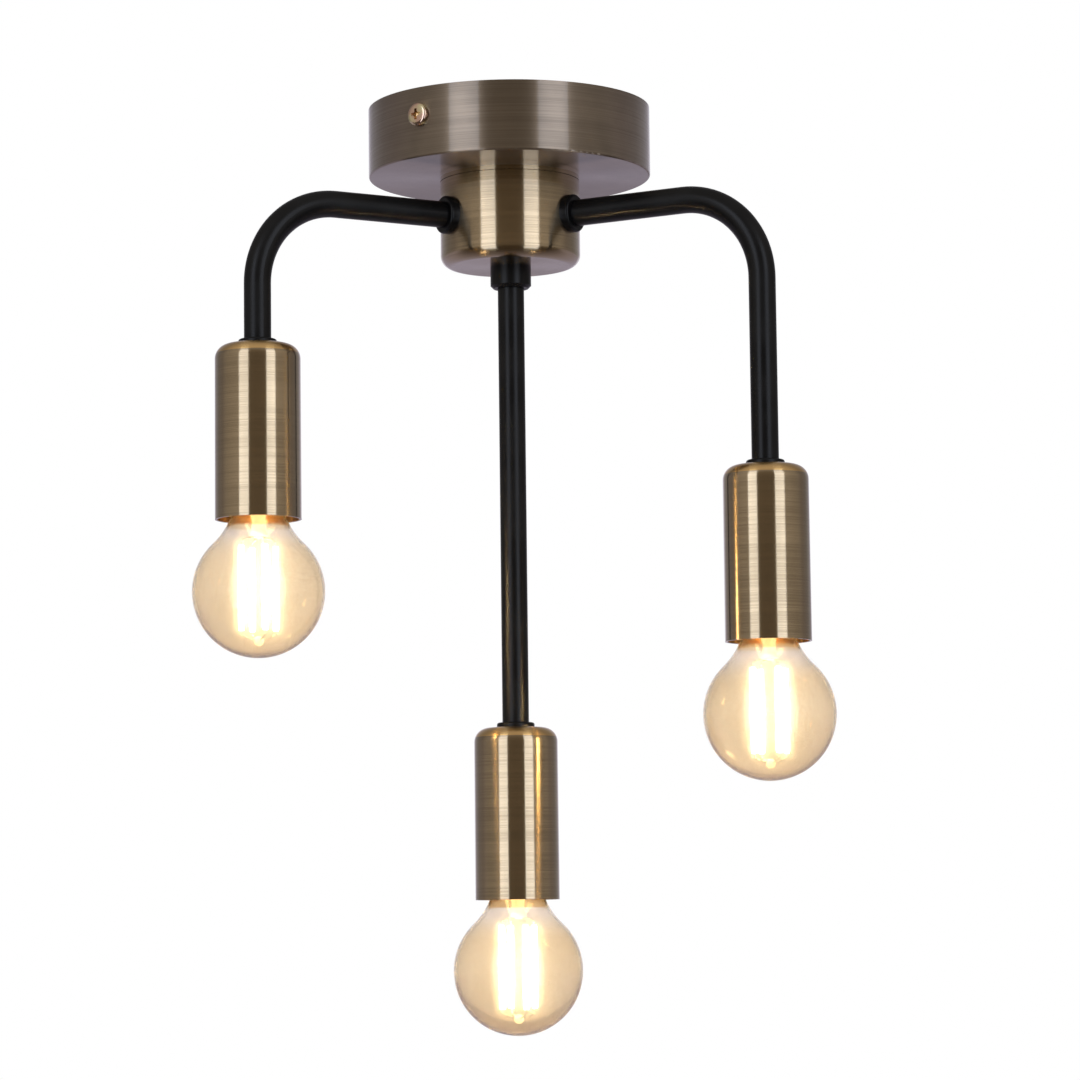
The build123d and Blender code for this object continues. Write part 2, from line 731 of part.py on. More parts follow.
def make_holder_contact(name, x, y, mouth_z):
    """Centre contact: a disc over the bulb's tip on a post through the socket's floor."""
    with BuildPart() as holder_contact:
        with BuildSketch(level(x, y, mouth_z + contact_bottom)):
            Circle(contact_diameter / 2)
        extrude(amount=contact_thickness)
        with BuildSketch(level(x, y, mouth_z + contact_bottom)):
            Circle(contact_post_diameter / 2)
        extrude(amount=contact_post_length - lead_clearance)
    finish(holder_contact, f"holder_contact_{name}")


def screw_ridge(x, y, bottom_z, turns, form_radius, mode):
    """Sweep a round ridge along the bulb's thread, to add it to a cap or cut it in a shell."""
    with BuildLine() as helix:
        Helix(thread_pitch, turns * thread_pitch, thread_path_radius, center=(x, y, bottom_z))
    with BuildSketch(Plane(origin=helix.line @ 0, z_dir=helix.line % 0)) as ridge:
        Circle(form_radius)
    sweep(ridge.sketch, path=helix.line, is_frenet=True, mode=mode)


def make_screw_shell(name, x, y, mouth_z):
    """Metal shell whose inner wall carries the thread that the bulb turns in."""
    with BuildPart() as screw_shell:
        with BuildSketch(level(x, y, mouth_z + shell_bottom)):
            ring(shell_outer_radius, shell_inner_radius)
        extrude(amount=shell_length)
        groove_radius = thread_form_radius + bulb_thread_clearance
        groove_start_z = mouth_z + thread_start - thread_pitch
        screw_ridge(x, y, groove_start_z, shell_thread_turns, groove_radius, Mode.SUBTRACT)
        with BuildSketch(level(x, y, mouth_z + shell_bottom + shell_length)):
            with Locations((0, shell_outer_radius - shell_wall)):
                Circle(shell_tag_diameter / 2)
        extrude(amount=shell_tag_length)
    finish(screw_shell, f"screw_shell_{name}")


# ---------------------------------------------------------------- lamps: bulb


def glass_wall_line(inset):
    """Globe and neck curves of the glass, moved inwards by an amount; returns both end points."""
    globe = globe_radius - inset
    hollow = neck_fillet_radius + inset
    rise = neck_end + globe_below_mouth
    slope = degrees(atan2(rise, neck_fillet_x))
    turn = (globe * cos(radians(slope)), globe * sin(radians(slope)) - globe_below_mouth)
    middle_angle = radians(180 + slope / 2)
    middle = (neck_fillet_x + hollow * cos(middle_angle), neck_end + hollow * sin(middle_angle))
    pole = (0, -globe_below_mouth - globe)
    rim = (neck_radius - inset, neck_end)
    ThreePointArc(pole, (globe, -globe_below_mouth), turn)
    ThreePointArc(turn, middle, rim)
    return pole, rim


def make_bulb_glass(name, x, y, mouth_z):
    """Golf ball envelope: a globe that runs through a hollow curve into the neck."""
    with BuildPart() as bulb_glass:
        with BuildSketch(upright(x, y, mouth_z)):
            with BuildLine():
                outer_pole, outer_rim = glass_wall_line(0)
                inner_pole, inner_rim = glass_wall_line(glass_wall)
                Line(outer_pole, inner_pole)
                Line(outer_rim, inner_rim)
            make_face()
        revolve(axis=upright_axis(x, y))
    finish(bulb_glass, f"bulb_glass_{name}")


def make_bulb_cap(name, x, y, mouth_z):
    """Screw cap: skirt round the glass neck, and a thin shell with a rolled thread."""
    skirt = cap_skirt_diameter / 2
    outline = [
        (skirt, cap_skirt_bottom),
        (skirt, cap_skirt_top),
        (thread_core_radius, cap_cone_top),
        (thread_core_radius, cap_top),
        (thread_core_radius - cap_wall, cap_top),
        (thread_core_radius - cap_wall, cap_cone_top),
        (skirt - cap_wall, cap_skirt_top),
        (skirt - cap_wall, cap_skirt_bottom),
    ]
    with BuildPart() as bulb_cap:
        with BuildSketch(upright(x, y, mouth_z)):
            with BuildLine():
                Polyline(*outline, close=True)
            make_face()
        revolve(axis=upright_axis(x, y))
        screw_ridge(x, y, mouth_z + thread_start, thread_turns, thread_form_radius, Mode.ADD)
        with BuildSketch(level(x, y, mouth_z + cap_cone_top)):
            Circle(thread_core_radius - cap_wall)
        extrude(amount=cap_thread_length, mode=Mode.SUBTRACT)
    finish(bulb_cap, f"bulb_cap_{name}")


def make_bulb_insulator(name, x, y, mouth_z):
    """Black glass insulator that closes the cap's end round the contact."""
    plug_radius = thread_core_radius - cap_wall - seat_gap
    outline = [
        (0, cap_top - insulator_plug_depth),
        (plug_radius, cap_top - insulator_plug_depth),
        (plug_radius, cap_top),
        (thread_core_radius, cap_top),
        (insulator_tip_diameter / 2, insulator_top),
        (0, insulator_top),
    ]
    with BuildPart() as bulb_insulator:
        with BuildSketch(upright(x, y, mouth_z)):
            with BuildLine():
                Polyline(*outline, close=True)
            make_face()
        revolve(axis=upright_axis(x, y))
    finish(bulb_insulator, f"bulb_insulator_{name}")


def make_bulb_tip(name, x, y, mouth_z):
    """Domed solder contact on the end of the bulb."""
    radius = tip_diameter / 2
    dome_radius = (radius**2 + tip_height**2) / (2 * tip_height)
    with BuildPart() as bulb_tip:
        with BuildSketch(upright(x, y, mouth_z)):
            with BuildLine():
                Polyline((0, tip_top), (0, tip_bottom), (radius, tip_bottom))
                RadiusArc((radius, tip_bottom), (0, tip_top), -dome_radius)
            make_face()
        revolve(axis=upright_axis(x, y))
    finish(bulb_tip, f"bulb_tip_{name}")


def make_bulb_stem(name, x, y, mouth_z):
    """Glass mount: a flare sealed in the neck, drawn out into a tube and a thin tip."""
    flare = stem_flare_diameter / 2
    tube = stem_tube_diameter / 2
    tip = stem_tip_diameter / 2
    outline = [
        (0, stem_top),
        (flare, stem_top),
        (flare, stem_top - stem_flare_edge),
        (tube, stem_top - stem_flare_edge - stem_flare_height),
        (tube, stem_tip_bottom + stem_tip_length),
        (tip, stem_tip_bottom),
        (0, stem_tip_bottom),
    ]
    with BuildPart() as bulb_stem:
        with BuildSketch(upright(x, y, mouth_z)):
            with BuildLine():
                Polyline(*outline, close=True)
            make_face()
        revolve(axis=upright_axis(x, y))
    finish(bulb_stem, f"bulb_stem_{name}")


def make_bulb_filaments(name, x, y, mouth_z):
    """Upright coated filaments in a ring."""
    with BuildPart() as bulb_filaments:
        with BuildSketch(level(x, y, mouth_z - filament_top_below_mouth)):
            with PolarLocations(filament_circle_radius, filament_count, filament_start_angle):
                Circle(filament_diameter / 2)
        extrude(amount=-filament_length)
    finish(bulb_filaments, f"bulb_filaments_{name}")


def make_bulb_wires(name, x, y, mouth_z):
    """Wire stars that hold the filaments above and below, the upper one on a post from the stem."""
    top_z = mouth_z - filament_top_below_mouth
    reach = filament_circle_radius + filament_diameter / 2
    with BuildPart() as bulb_wires:
        for star_z in (top_z, top_z - filament_length - filament_wire_diameter):
            with BuildSketch(level(x, y, star_z)):
                with PolarLocations(reach / 2, filament_count, filament_start_angle):
                    Rectangle(reach, filament_wire_diameter)
                Circle(filament_wire_diameter)
            extrude(amount=filament_wire_diameter)
        with BuildSketch(level(x, y, top_z)):
            Circle(filament_wire_diameter)
        extrude(amount=filament_wire_diameter + filament_post_length - seat_gap)
    finish(bulb_wires, f"bulb_wires_{name}")


for name, (x, y) in lamp_places.items():
    mouth_z = -mouth_below_ceiling[name]
    make_collar(name, x, y, mouth_z)
    make_sleeve(name, x, y, mouth_z)
    make_lampholder(name, x, y, mouth_z)
    make_holder_contact(name, x, y, mouth_z)
    make_screw_shell(name, x, y, mouth_z)
    make_bulb_glass(name, x, y, mouth_z)
    make_bulb_cap(name, x, y, mouth_z)
    make_bulb_insulator(name, x, y, mouth_z)
    make_bulb_tip(name, x, y, mouth_z)
    make_bulb_stem(name, x, y, mouth_z)
    make_bulb_filaments(name, x, y, mouth_z)
    make_bulb_wires(name, x, y, mouth_z)
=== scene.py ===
"""Looks of a semi flush ceiling light: brushed brass, satin black tubes and lit filament bulbs.

Every length is in metres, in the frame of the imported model: +Z up, the ceiling at z = 0.
"""

import logging
import math
from dataclasses import dataclass, field
from enum import Enum

import bmesh
import bpy
from mathutils import Matrix, Vector


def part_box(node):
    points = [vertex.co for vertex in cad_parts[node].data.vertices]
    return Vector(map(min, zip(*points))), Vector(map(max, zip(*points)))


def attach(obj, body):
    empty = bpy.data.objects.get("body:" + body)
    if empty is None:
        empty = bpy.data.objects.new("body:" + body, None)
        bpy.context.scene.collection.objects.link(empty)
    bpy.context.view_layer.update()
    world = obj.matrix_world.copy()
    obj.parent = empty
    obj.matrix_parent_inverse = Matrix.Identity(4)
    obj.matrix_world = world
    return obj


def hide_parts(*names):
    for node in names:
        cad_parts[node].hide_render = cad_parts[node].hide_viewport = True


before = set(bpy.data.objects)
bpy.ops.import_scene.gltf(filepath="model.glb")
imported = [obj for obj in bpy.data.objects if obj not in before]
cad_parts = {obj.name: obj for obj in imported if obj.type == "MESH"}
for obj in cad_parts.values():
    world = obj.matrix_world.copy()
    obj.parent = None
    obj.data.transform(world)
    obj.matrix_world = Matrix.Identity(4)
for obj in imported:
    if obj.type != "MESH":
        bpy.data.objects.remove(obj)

LOG = logging.getLogger("ceiling_light")
MILLIMETRE = 0.001
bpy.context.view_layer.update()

Colour = tuple[float, float, float]
Span = tuple[float, float]
Socket = bpy.types.NodeSocket
Material = bpy.types.Material
Shape = bmesh.types.BMesh

WELD_DISTANCE = 0.002 * MILLIMETRE
SHARP_ANGLE = math.radians(40.0)
ROUND_THE_WALL = 0.25
BLOTCHES_A_METRE = 55.0
SLOW_SHARE = 0.03


class Lamp(Enum):
    """The three lamps, by the ending of their pieces' names."""

    LEFT = "left"
    RIGHT = "right"
    DROP = "drop"


# ---- node helpers


class Wiring:
    """Adds nodes to one shader tree and joins their sockets."""

    def __init__(self, tree: bpy.types.NodeTree) -> None:
        """Take over an existing tree.

        Args:
            tree: The node tree that the nodes go into.
        """
        self.tree = tree

    def add(self, kind: str, **settings: object) -> bpy.types.Node:
        """Add a node.

        Args:
            kind: Blender's name of the node type.
            settings: Properties of the node, by name.

        Returns:
            The new node.
        """
        node = self.tree.nodes.new(kind)
        for name, value in settings.items():
            setattr(node, name, value)
        return node

    def feed(self, target: Socket, source: object) -> None:
        """Link a socket to another one, or set its value.

        Args:
            target: The input that is fed.
            source: An output socket, a number, a vector or a colour.
        """
        if isinstance(source, bpy.types.NodeSocket):
            self.tree.links.new(source, target)
        elif target.type == "RGBA":
            target.default_value = (*source[:3], 1.0)
        else:
            target.default_value = source

    def fill(self, node: bpy.types.Node, sources: dict[object, object]) -> None:
        """Feed several inputs of a node.

        Args:
            node: The node.
            sources: What each input gets, by the input's name or number.
        """
        for key, source in sources.items():
            self.feed(node.inputs[key], source)

    def split(self, vector: Socket) -> tuple[Socket, ...]:
        """The three numbers of a vector."""
        node = self.add("ShaderNodeSeparateXYZ")
        self.feed(node.inputs[0], vector)
        return tuple(node.outputs)

    def maths(self, operation: str, *values: object) -> Socket:
        """Work out one number from up to three.

        Args:
            operation: Name of the Math node's operation.
            values: Sockets or numbers.

        Returns:
            The socket with the result.
        """
        node = self.add("ShaderNodeMath", operation=operation)
        for target, source in zip(node.inputs, values):
            self.feed(target, source)
        return node.outputs[0]

    def span(
        self, value: Socket, lowest: float, highest: float, to_low: float = 0, to_high: float = 1
    ) -> Socket:
        """Map a range of numbers onto another with soft ends.

        Args:
            value: The socket to map.
            lowest: Start of the range.
            highest: End of the range.
            to_low: Result at the start.
            to_high: Result at the end.

        Returns:
            The socket with the result.
        """
        node = self.add("ShaderNodeMapRange", interpolation_type="SMOOTHSTEP")
        bounds = {"From Min": lowest, "From Max": highest, "To Min": to_low, "To Max": to_high}
        self.fill(node, {"Value": value, **bounds})
        return node.outputs["Result"]

    def blend(self, share: object, first: object, second: object) -> Socket:
        """Mix two colours.

        Args:
            share: How much of the second colour, from 0 to 1.
            first: A colour or its socket.
            second: A colour or its socket.

        Returns:
            The socket with the mixed colour.
        """
        node = self.add("ShaderNodeMix", data_type="RGBA")
        self.fill(node, {0: share, 6: first, 7: second})
        return node.outputs[2]

    def group(self, effect: bpy.types.NodeTree, **values: object) -> bpy.types.Node:
        """Place a node group.

        Args:
            effect: The group's tree.
            values: What its inputs get, by name with _ for a space.

        Returns:
            The group node.
        """
        node = self.add("ShaderNodeGroup")
        node.node_tree = effect
        for name, source in values.items():
            self.feed(node.inputs[name.replace("_", " ")], source)
        return node


class EffectGroup:
    """A shader node group with named inputs and outputs, built once."""

    def __init__(self, name: str, inputs: dict[str, str], outputs: dict[str, str]) -> None:
        """Make the empty group.

        Args:
            name: The group's name.
            inputs: Socket type of each input, by name.
            outputs: Socket type of each output, by name.
        """
        self.tree = bpy.data.node_groups.new(name, "ShaderNodeTree")
        for socket, kind in inputs.items():
            self.tree.interface.new_socket(socket, in_out="INPUT", socket_type=kind)
        for socket, kind in outputs.items():
            self.tree.interface.new_socket(socket, in_out="OUTPUT", socket_type=kind)
        self.wiring = Wiring(self.tree)
        self.inputs = self.wiring.add("NodeGroupInput").outputs
        self.outputs = self.wiring.add("NodeGroupOutput").inputs


VECTOR, NUMBER = "NodeSocketVector", "NodeSocketFloat"
NOISE_SPAN = (0.3, 0.7)


def add_noise(wiring: Wiring, place: Socket, scale: object, detail: float) -> Socket:
    """Lay a soft noise over a place.

    Args:
        wiring: The tree that gets it.
        place: The coordinates.
        scale: How many of its waves go into a metre, a number or a socket.
        detail: How many finer waves are added.

    Returns:
        The noise, from 0 to 1.
    """
    noise = wiring.add("ShaderNodeTexNoise")
    wiring.fill(noise, {"Vector": place, "Scale": scale, "Detail": detail})
    return noise.outputs["Fac"]


def distance_from_axis(wiring: Wiring, east: Socket, north: Socket) -> Socket:
    """Distance of a place from the upright axis through the origin."""
    north_square = wiring.maths("MULTIPLY", north, north)
    return wiring.maths("SQRT", wiring.maths("MULTIPLY_ADD", east, east, north_square))


def build_turned_lines() -> bpy.types.NodeTree:
    """Fine lines that a brush leaves round a turned piece, on its walls and its flat ends.

    Returns:
        A group that takes a place from the turning axis and gives lines, bands and blotches.
    """
    effect = EffectGroup(
        "turned lines",
        {"Place": VECTOR, "Line Width": NUMBER, "Line Run": NUMBER},
        {"Fine Lines": NUMBER, "Broad Bands": NUMBER, "Blotches": NUMBER},
    )
    wiring = effect.wiring
    east, north, height = wiring.split(effect.inputs["Place"])
    radius = distance_from_axis(wiring, east, north)
    layers = (("Fine Lines", 1.0, 1.0, 2.0), ("Broad Bands", 7.0, 2.5, 1.0))
    for name, wider, longer, detail in layers:
        across = wiring.maths("DIVIDE", 1.0 / wider, effect.inputs["Line Width"])
        along = wiring.maths("DIVIDE", 1.0 / longer, effect.inputs["Line Run"])
        stretched = wiring.add("ShaderNodeCombineXYZ")
        pairs = ((east, along), (north, along), (height, across))
        wiring.fill(stretched, {
            number: wiring.maths("MULTIPLY", *pair) for number, pair in enumerate(pairs)
        })
        noise = wiring.add("ShaderNodeTexNoise", noise_dimensions="4D")
        level = wiring.maths("MULTIPLY", radius, across)
        wiring.fill(noise, {"Vector": stretched.outputs[0], "W": level})
        wiring.fill(noise, {"Scale": 1.0, "Detail": detail})
        wiring.feed(effect.outputs[name], noise.outputs["Fac"])
    blotches = add_noise(wiring, effect.inputs["Place"], BLOTCHES_A_METRE, 3.0)
    wiring.feed(effect.outputs["Blotches"], blotches)
    return effect.tree


def build_grain() -> bpy.types.NodeTree:
    """Fine skin of a powder coat or a moulding.

    Returns:
        A group that takes a place and a size, and gives a height and a slow variation.
    """
    effect = EffectGroup(
        "surface grain",
        {"Place": VECTOR, "Grain Size": NUMBER},
        {"Height": NUMBER, "Variation": NUMBER},
    )
    wiring = effect.wiring
    fineness = wiring.maths("DIVIDE", 1.0, effect.inputs["Grain Size"])
    slow = wiring.maths("MULTIPLY", fineness, SLOW_SHARE)
    for name, scale in (("Height", fineness), ("Variation", slow)):
        wiring.feed(effect.outputs[name], add_noise(wiring, effect.inputs["Place"], scale, 2.0))
    return effect.tree


TURNED_LINES = build_turned_lines()
GRAIN = build_grain()


def new_material(name: str) -> tuple[Material, Wiring, bpy.types.Node, Socket]:
    """Start a material with one Principled shader and object coordinates.

    Args:
        name: The material's name.

    Returns:
        The material, its wiring, the shader and the coordinates' socket.
    """
    material = bpy.data.materials.new(name)
    material.use_nodes = True
    wiring = Wiring(material.node_tree)
    shader = material.node_tree.nodes["Principled BSDF"]
    place = wiring.add("ShaderNodeTexCoord").outputs["Object"]
    return material, wiring, shader, place


def mix_shaders(
    material: Material, wiring: Wiring, share: Socket, first: Socket, second: Socket
) -> None:
    """Feed a material's surface from two shaders.

    Args:
        material: The material.
        wiring: The material's wiring.
        share: How much of the second shader, from 0 to 1.
        first: One shader's output.
        second: The other shader's output.
    """
    mix = wiring.add("ShaderNodeMixShader")
    wiring.fill(mix, {0: share, 1: first, 2: second})
    surface = material.node_tree.nodes["Material Output"].inputs["Surface"]
    wiring.feed(surface, mix.outputs[0])


def centred(wiring: Wiring, place: Socket, axis: tuple[float, float]) -> Socket:
    """Move a pattern onto an upright axis.

    Args:
        wiring: The material's wiring.
        place: Object coordinates.
        axis: The axis' x and y.

    Returns:
        The socket with coordinates from that axis.
    """
    mapping = wiring.add("ShaderNodeMapping")
    wiring.fill(mapping, {"Vector": place, "Location": (-axis[0], -axis[1], 0.0)})
    return mapping.outputs[0]


def bump(wiring: Wiring, shader: bpy.types.Node, height: Socket, depth: float) -> None:
    """Feed the shader's normal from a height.

    Args:
        wiring: The material's wiring.
        shader: The Principled shader.
        height: The pattern, from 0 to 1.
        depth: How deep it is.
    """
    node = wiring.add("ShaderNodeBump")
    wiring.fill(node, {"Strength": 1.0, "Distance": depth, "Height": height})
    wiring.feed(shader.inputs["Normal"], node.outputs[0])


# ---- finishes


@dataclass(frozen=True)
class BrushedMetal:
    """Lacquered metal brushed round an upright axis, bare and warmer inside a given radius.

    Its lines fade with a face's slant, from the first wall_tilt to the second, down to flat_share.
    """

    name: str
    bright: Colour
    dull: Colour
    bare: Colour = (0.86, 0.56, 0.22)
    bare_inside: float = 0.0
    roughness: float = 0.22
    rougher: float = 0.04
    stretch: float = 1.0
    metalness: float = 1.0
    line_width: float = 0.28 * MILLIMETRE
    line_run: float = 70.0 * MILLIMETRE
    line_depth: float = 0.0007 * MILLIMETRE
    wall_tilt: Span = (0.3, 0.9)
    flat_share: float = 0.12
    fine_share: float = 0.5
    band_share: float = 0.2
    blotch_share: float = 0.3
    tone_span: Span = (0.04, 0.26)
    lacquer_roughness: float = 0.07
    lacquer_refraction: float = 1.5
    axis: tuple[float, float] = (0.0, 0.0)

    def build(self) -> Material:
        """Make the material."""
        material, wiring, shader, place = new_material(self.name)
        turned = centred(wiring, place, self.axis)
        lines = wiring.group(
            TURNED_LINES, Place=turned, Line_Width=self.line_width, Line_Run=self.line_run
        ).outputs
        facing = wiring.split(wiring.add("ShaderNodeTexCoord").outputs["Normal"])
        leaning = wiring.maths("ABSOLUTE", facing[2])
        upright = wiring.span(leaning, *self.wall_tilt, 1.0, self.flat_share)
        fine, bands = (
            wiring.maths("MULTIPLY", wiring.maths("SUBTRACT", lines[name], 0.5), upright)
            for name in ("Fine Lines", "Broad Bands")
        )
        tone = wiring.maths("MULTIPLY", fine, self.fine_share)
        tone = wiring.maths("MULTIPLY_ADD", bands, self.band_share, tone)
        tone = wiring.maths("MULTIPLY_ADD", lines["Blotches"], self.blotch_share, tone)
        colour = wiring.blend(wiring.span(tone, *self.tone_span), self.dull, self.bright)
        if self.bare_inside > 0.0:
            radius = distance_from_axis(wiring, *wiring.split(turned)[:2])
            inside = wiring.maths("LESS_THAN", radius, self.bare_inside)
            colour = wiring.blend(inside, colour, self.bare)
        keen, worn = self.roughness - self.rougher, self.roughness + self.rougher
        around = wiring.add("ShaderNodeTangent", direction_type="RADIAL", axis="Z")
        wiring.fill(shader, {
            "Base Color": colour,
            "Roughness": wiring.span(tone, *self.tone_span, worn, keen),
            "Metallic": self.metalness,
            "Anisotropic": self.stretch,
            "Anisotropic Rotation": ROUND_THE_WALL,
            "Tangent": around.outputs[0],
            "Coat Weight": 1.0,
            "Coat Roughness": self.lacquer_roughness,
            "Coat IOR": self.lacquer_refraction,
        })
        bump(wiring, shader, fine, self.line_depth)
        return material


@dataclass(frozen=True)
class Moulding:
    """A finish with a fine uneven skin: moulded plastic, glassy insulator, lead sheath or floor.

    The pattern that follows names moves the roughness, down by keener and up by rougher.
    """

    name: str
    colour: Colour
    paler: Colour
    roughness: float = 0.5
    keener: float = 0.05
    rougher: float = 0.05
    follows: str = "Height"
    colour_span: Span = (0.35, 0.65)
    roughness_span: Span = NOISE_SPAN
    gloss_level: float = 0.5
    metalness: float = 0.0
    grain_size: float = 0.4 * MILLIMETRE
    grain_depth: float = 0.01 * MILLIMETRE

    def build(self) -> Material:
        """Make the material."""
        material, wiring, shader, place = new_material(self.name)
        grain = wiring.group(GRAIN, Place=place, Grain_Size=self.grain_size).outputs
        share = wiring.span(grain["Variation"], *self.colour_span)
        keen, worn = self.roughness - self.keener, self.roughness + self.rougher
        wiring.fill(shader, {
            "Base Color": wiring.blend(share, self.colour, self.paler),
            "Roughness": wiring.span(grain[self.follows], *self.roughness_span, keen, worn),
            "Specular IOR Level": self.gloss_level,
            "Metallic": self.metalness,
        })
        bump(wiring, shader, grain["Height"], self.grain_depth)
        return material


@dataclass(frozen=True)
class SatinCoat(Moulding):
    """Satin powder coat over steel."""

    roughness: float = 0.31
    keener: float = 0.03
    rougher: float = 0.04
    follows: str = "Variation"
    gloss_level: float = 0.22
    grain_size: float = 0.5 * MILLIMETRE
    grain_depth: float = 0.0006 * MILLIMETRE


@dataclass(frozen=True)
class PlatedMetal(Moulding):
    """Plated or bare metal."""

    roughness: float = 0.26
    rougher: float = 0.08
    colour_span: Span = NOISE_SPAN
    metalness: float = 1.0
    grain_size: float = 0.8 * MILLIMETRE
    grain_depth: float = 0.008 * MILLIMETRE


@dataclass(frozen=True)
class LampGlass:
    """Blown glass that lets the filaments' light out.

    Its tint sets in from tint_top down to tint_full, and a painted reflection of the sleeve's
    orange inside covers all above neck_end.
    Rough specks spread the filaments' light: bloom_share of the glass a little, haze_share far.
    """

    name: str
    tint: Colour
    deeper: Colour
    untinted: Colour = (0.935, 0.88, 0.85)
    tint_top: float = 1.0
    tint_full: float = 0.9
    haze_share: float = 0.0
    haze_roughness: float = 0.7
    bloom_share: float = 0.0
    bloom_roughness: float = 0.34
    haze_size: float = 0.06 * MILLIMETRE
    cloud_scale: float = 45.0
    wave_height: float = 4.0 * MILLIMETRE
    edge_depth: float = 0.0
    edge_span: Span = (0.55, 1.0)
    # painted reflection: the orange of the sleeve's inside, painted into the glass's colour above
    # neck_end
    neck_painted_reflection: Colour = (0.85, 0.69, 0.48)
    neck_end: float = 1.0
    neck_softness: float = 0.5 * MILLIMETRE
    # painted glow: an emission that stands in for the filaments' light carried up through the
    # glass, though the glass is no lamp
    painted_glow: Colour = (0.0, 0.0, 0.0)
    clearness: float = 1.0
    refraction: float = 1.45

    def build(self) -> Material:
        """Make the material."""
        material, wiring, shader, place = new_material(self.name)
        tint = self.tint_at(wiring, place)
        wiring.fill(shader, {
            "Base Color": tint,
            "Roughness": self.rough_specks(wiring, place),
            "IOR": self.refraction,
            "Transmission Weight": self.clearness,
            # painted glow where one is set: the glass itself gives off light
            "Emission Color": self.painted_glow,
            "Emission Strength": 1.0,
        })
        clear = wiring.add("ShaderNodeBsdfTransparent")
        wiring.feed(clear.inputs["Color"], tint)
        path = wiring.add("ShaderNodeLightPath").outputs
        lamp_rays = wiring.maths("MAXIMUM", path["Is Shadow Ray"], path["Is Diffuse Ray"])
        mix_shaders(material, wiring, lamp_rays, shader.outputs[0], clear.outputs[0])
        return material

    def tint_at(self, wiring: Wiring, place: Socket) -> Socket:
        """The glass's colour.

        Args:
            wiring: The material's wiring.
            place: Object coordinates.

        Returns:
            The colour by height, with deeper clouds and edges, and a painted reflection over the
            neck.
        """
        cloud = add_noise(wiring, place, self.cloud_scale, 2.0)
        height = wiring.split(place)[2]
        wavy = wiring.maths("MULTIPLY_ADD", cloud, self.wave_height, height)
        fade = wiring.span(wavy, self.tint_full, self.tint_top, 1.0, 0.0)
        tinted = wiring.blend(wiring.span(cloud, *NOISE_SPAN), self.tint, self.deeper)
        tint = wiring.blend(fade, self.untinted, tinted)
        # painted reflection of the sleeve's inside, laid over the tint above neck_end
        painted_reflection_share = wiring.span(height, self.neck_end, self.neck_end + self.neck_softness)
        tint = wiring.blend(painted_reflection_share, tint, self.neck_painted_reflection)
        edge = wiring.add("ShaderNodeLayerWeight")
        wiring.feed(edge.inputs["Blend"], 0.5)
        slanted = wiring.span(edge.outputs["Facing"], *self.edge_span, 0.0, self.edge_depth)
        return wiring.blend(slanted, tint, tuple(part * part for part in self.deeper))

    def rough_specks(self, wiring: Wiring, place: Socket) -> Socket:
        """Clear glass but for two shares of fine specks.

        Args:
            wiring: The material's wiring.
            place: Object coordinates.

        Returns:
            The roughness.
        """
        snapped = wiring.add("ShaderNodeVectorMath", operation="SNAP")
        wiring.fill(snapped, {0: place, 1: (self.haze_size,) * 3})
        specks = wiring.add("ShaderNodeTexWhiteNoise", noise_dimensions="3D")
        wiring.feed(specks.inputs["Vector"], snapped.outputs[0])
        hazy = wiring.maths("LESS_THAN", specks.outputs["Value"], self.haze_share)
        both = self.haze_share + self.bloom_share
        soft = wiring.maths("LESS_THAN", specks.outputs["Value"], both)
        hazy = wiring.maths("MULTIPLY", hazy, self.haze_roughness)
        soft = wiring.maths("MULTIPLY", soft, self.bloom_roughness)
        return wiring.maths("MAXIMUM", hazy, soft)


@dataclass(frozen=True)
class LitCoating:
    """Glowing coating of a filament."""

    name: str
    light: Colour
    strength: float
    roughness: float = 0.45
    bead_scale: float = 900.0
    whiteness: float = 0.75

    def build(self) -> Material:
        """Make the material."""
        material, wiring, shader, place = new_material(self.name)
        share = wiring.span(add_noise(wiring, place, self.bead_scale, 2.0), *NOISE_SPAN)
        paler = tuple(self.whiteness + (1.0 - self.whiteness) * part for part in self.light)
        wiring.fill(shader, {
            "Base Color": wiring.blend(share, self.light, paler),
            "Emission Color": self.light,
            "Emission Strength": self.strength,
            "Roughness": self.roughness,
        })
        return material


# ---- places read from the frame


def middle_of(node: str) -> tuple[float, float]:
    """The upright axis of a round node, as x and y."""
    low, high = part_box(node)
    return (low.x + high.x) / 2, (low.y + high.y) / 2


def dress(node: str, material: Material) -> None:
    """Give a CAD node a finish.

    Args:
        node: The node's name.
        material: What its surface gets.
    """
    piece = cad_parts[node]
    for slot in piece.material_slots:
        slot.material = material
    LOG.info("%s dressed in %s", node, material.name)


def dress_groups(*groups: tuple[object, tuple[str, ...]]) -> None:
    """Build each group's finish and give it to the group's nodes."""
    for finish, nodes in groups:
        material = finish.build()
        for node in nodes:
            dress(node, material)


# ---- mesh helpers


def mesh_from(shape: Shape, name: str) -> bpy.types.Mesh:
    """Turn a bmesh into a mesh, and free it."""
    mesh = bpy.data.meshes.new(name)
    shape.to_mesh(mesh)
    shape.free()
    return mesh


def join_onto(whole: Shape, part: Shape) -> None:
    """Add a bmesh to another one, and free it."""
    mesh = mesh_from(part, "part")
    whole.from_mesh(mesh)
    bpy.data.meshes.remove(mesh)


def add_object(name: str, data: bpy.types.ID) -> bpy.types.Object:
    """Put a new object into the scene."""
    new = bpy.data.objects.new(name, data)
    bpy.context.scene.collection.objects.link(new)
    return new


def draw_chain(shape: Shape, points: list[Vector]) -> list[bmesh.types.BMEdge]:
    """Join points into a chain, and give its edges."""
    chain = [shape.verts.new(point) for point in points]
    return [shape.edges.new(pair) for pair in zip(chain, chain[1:])]


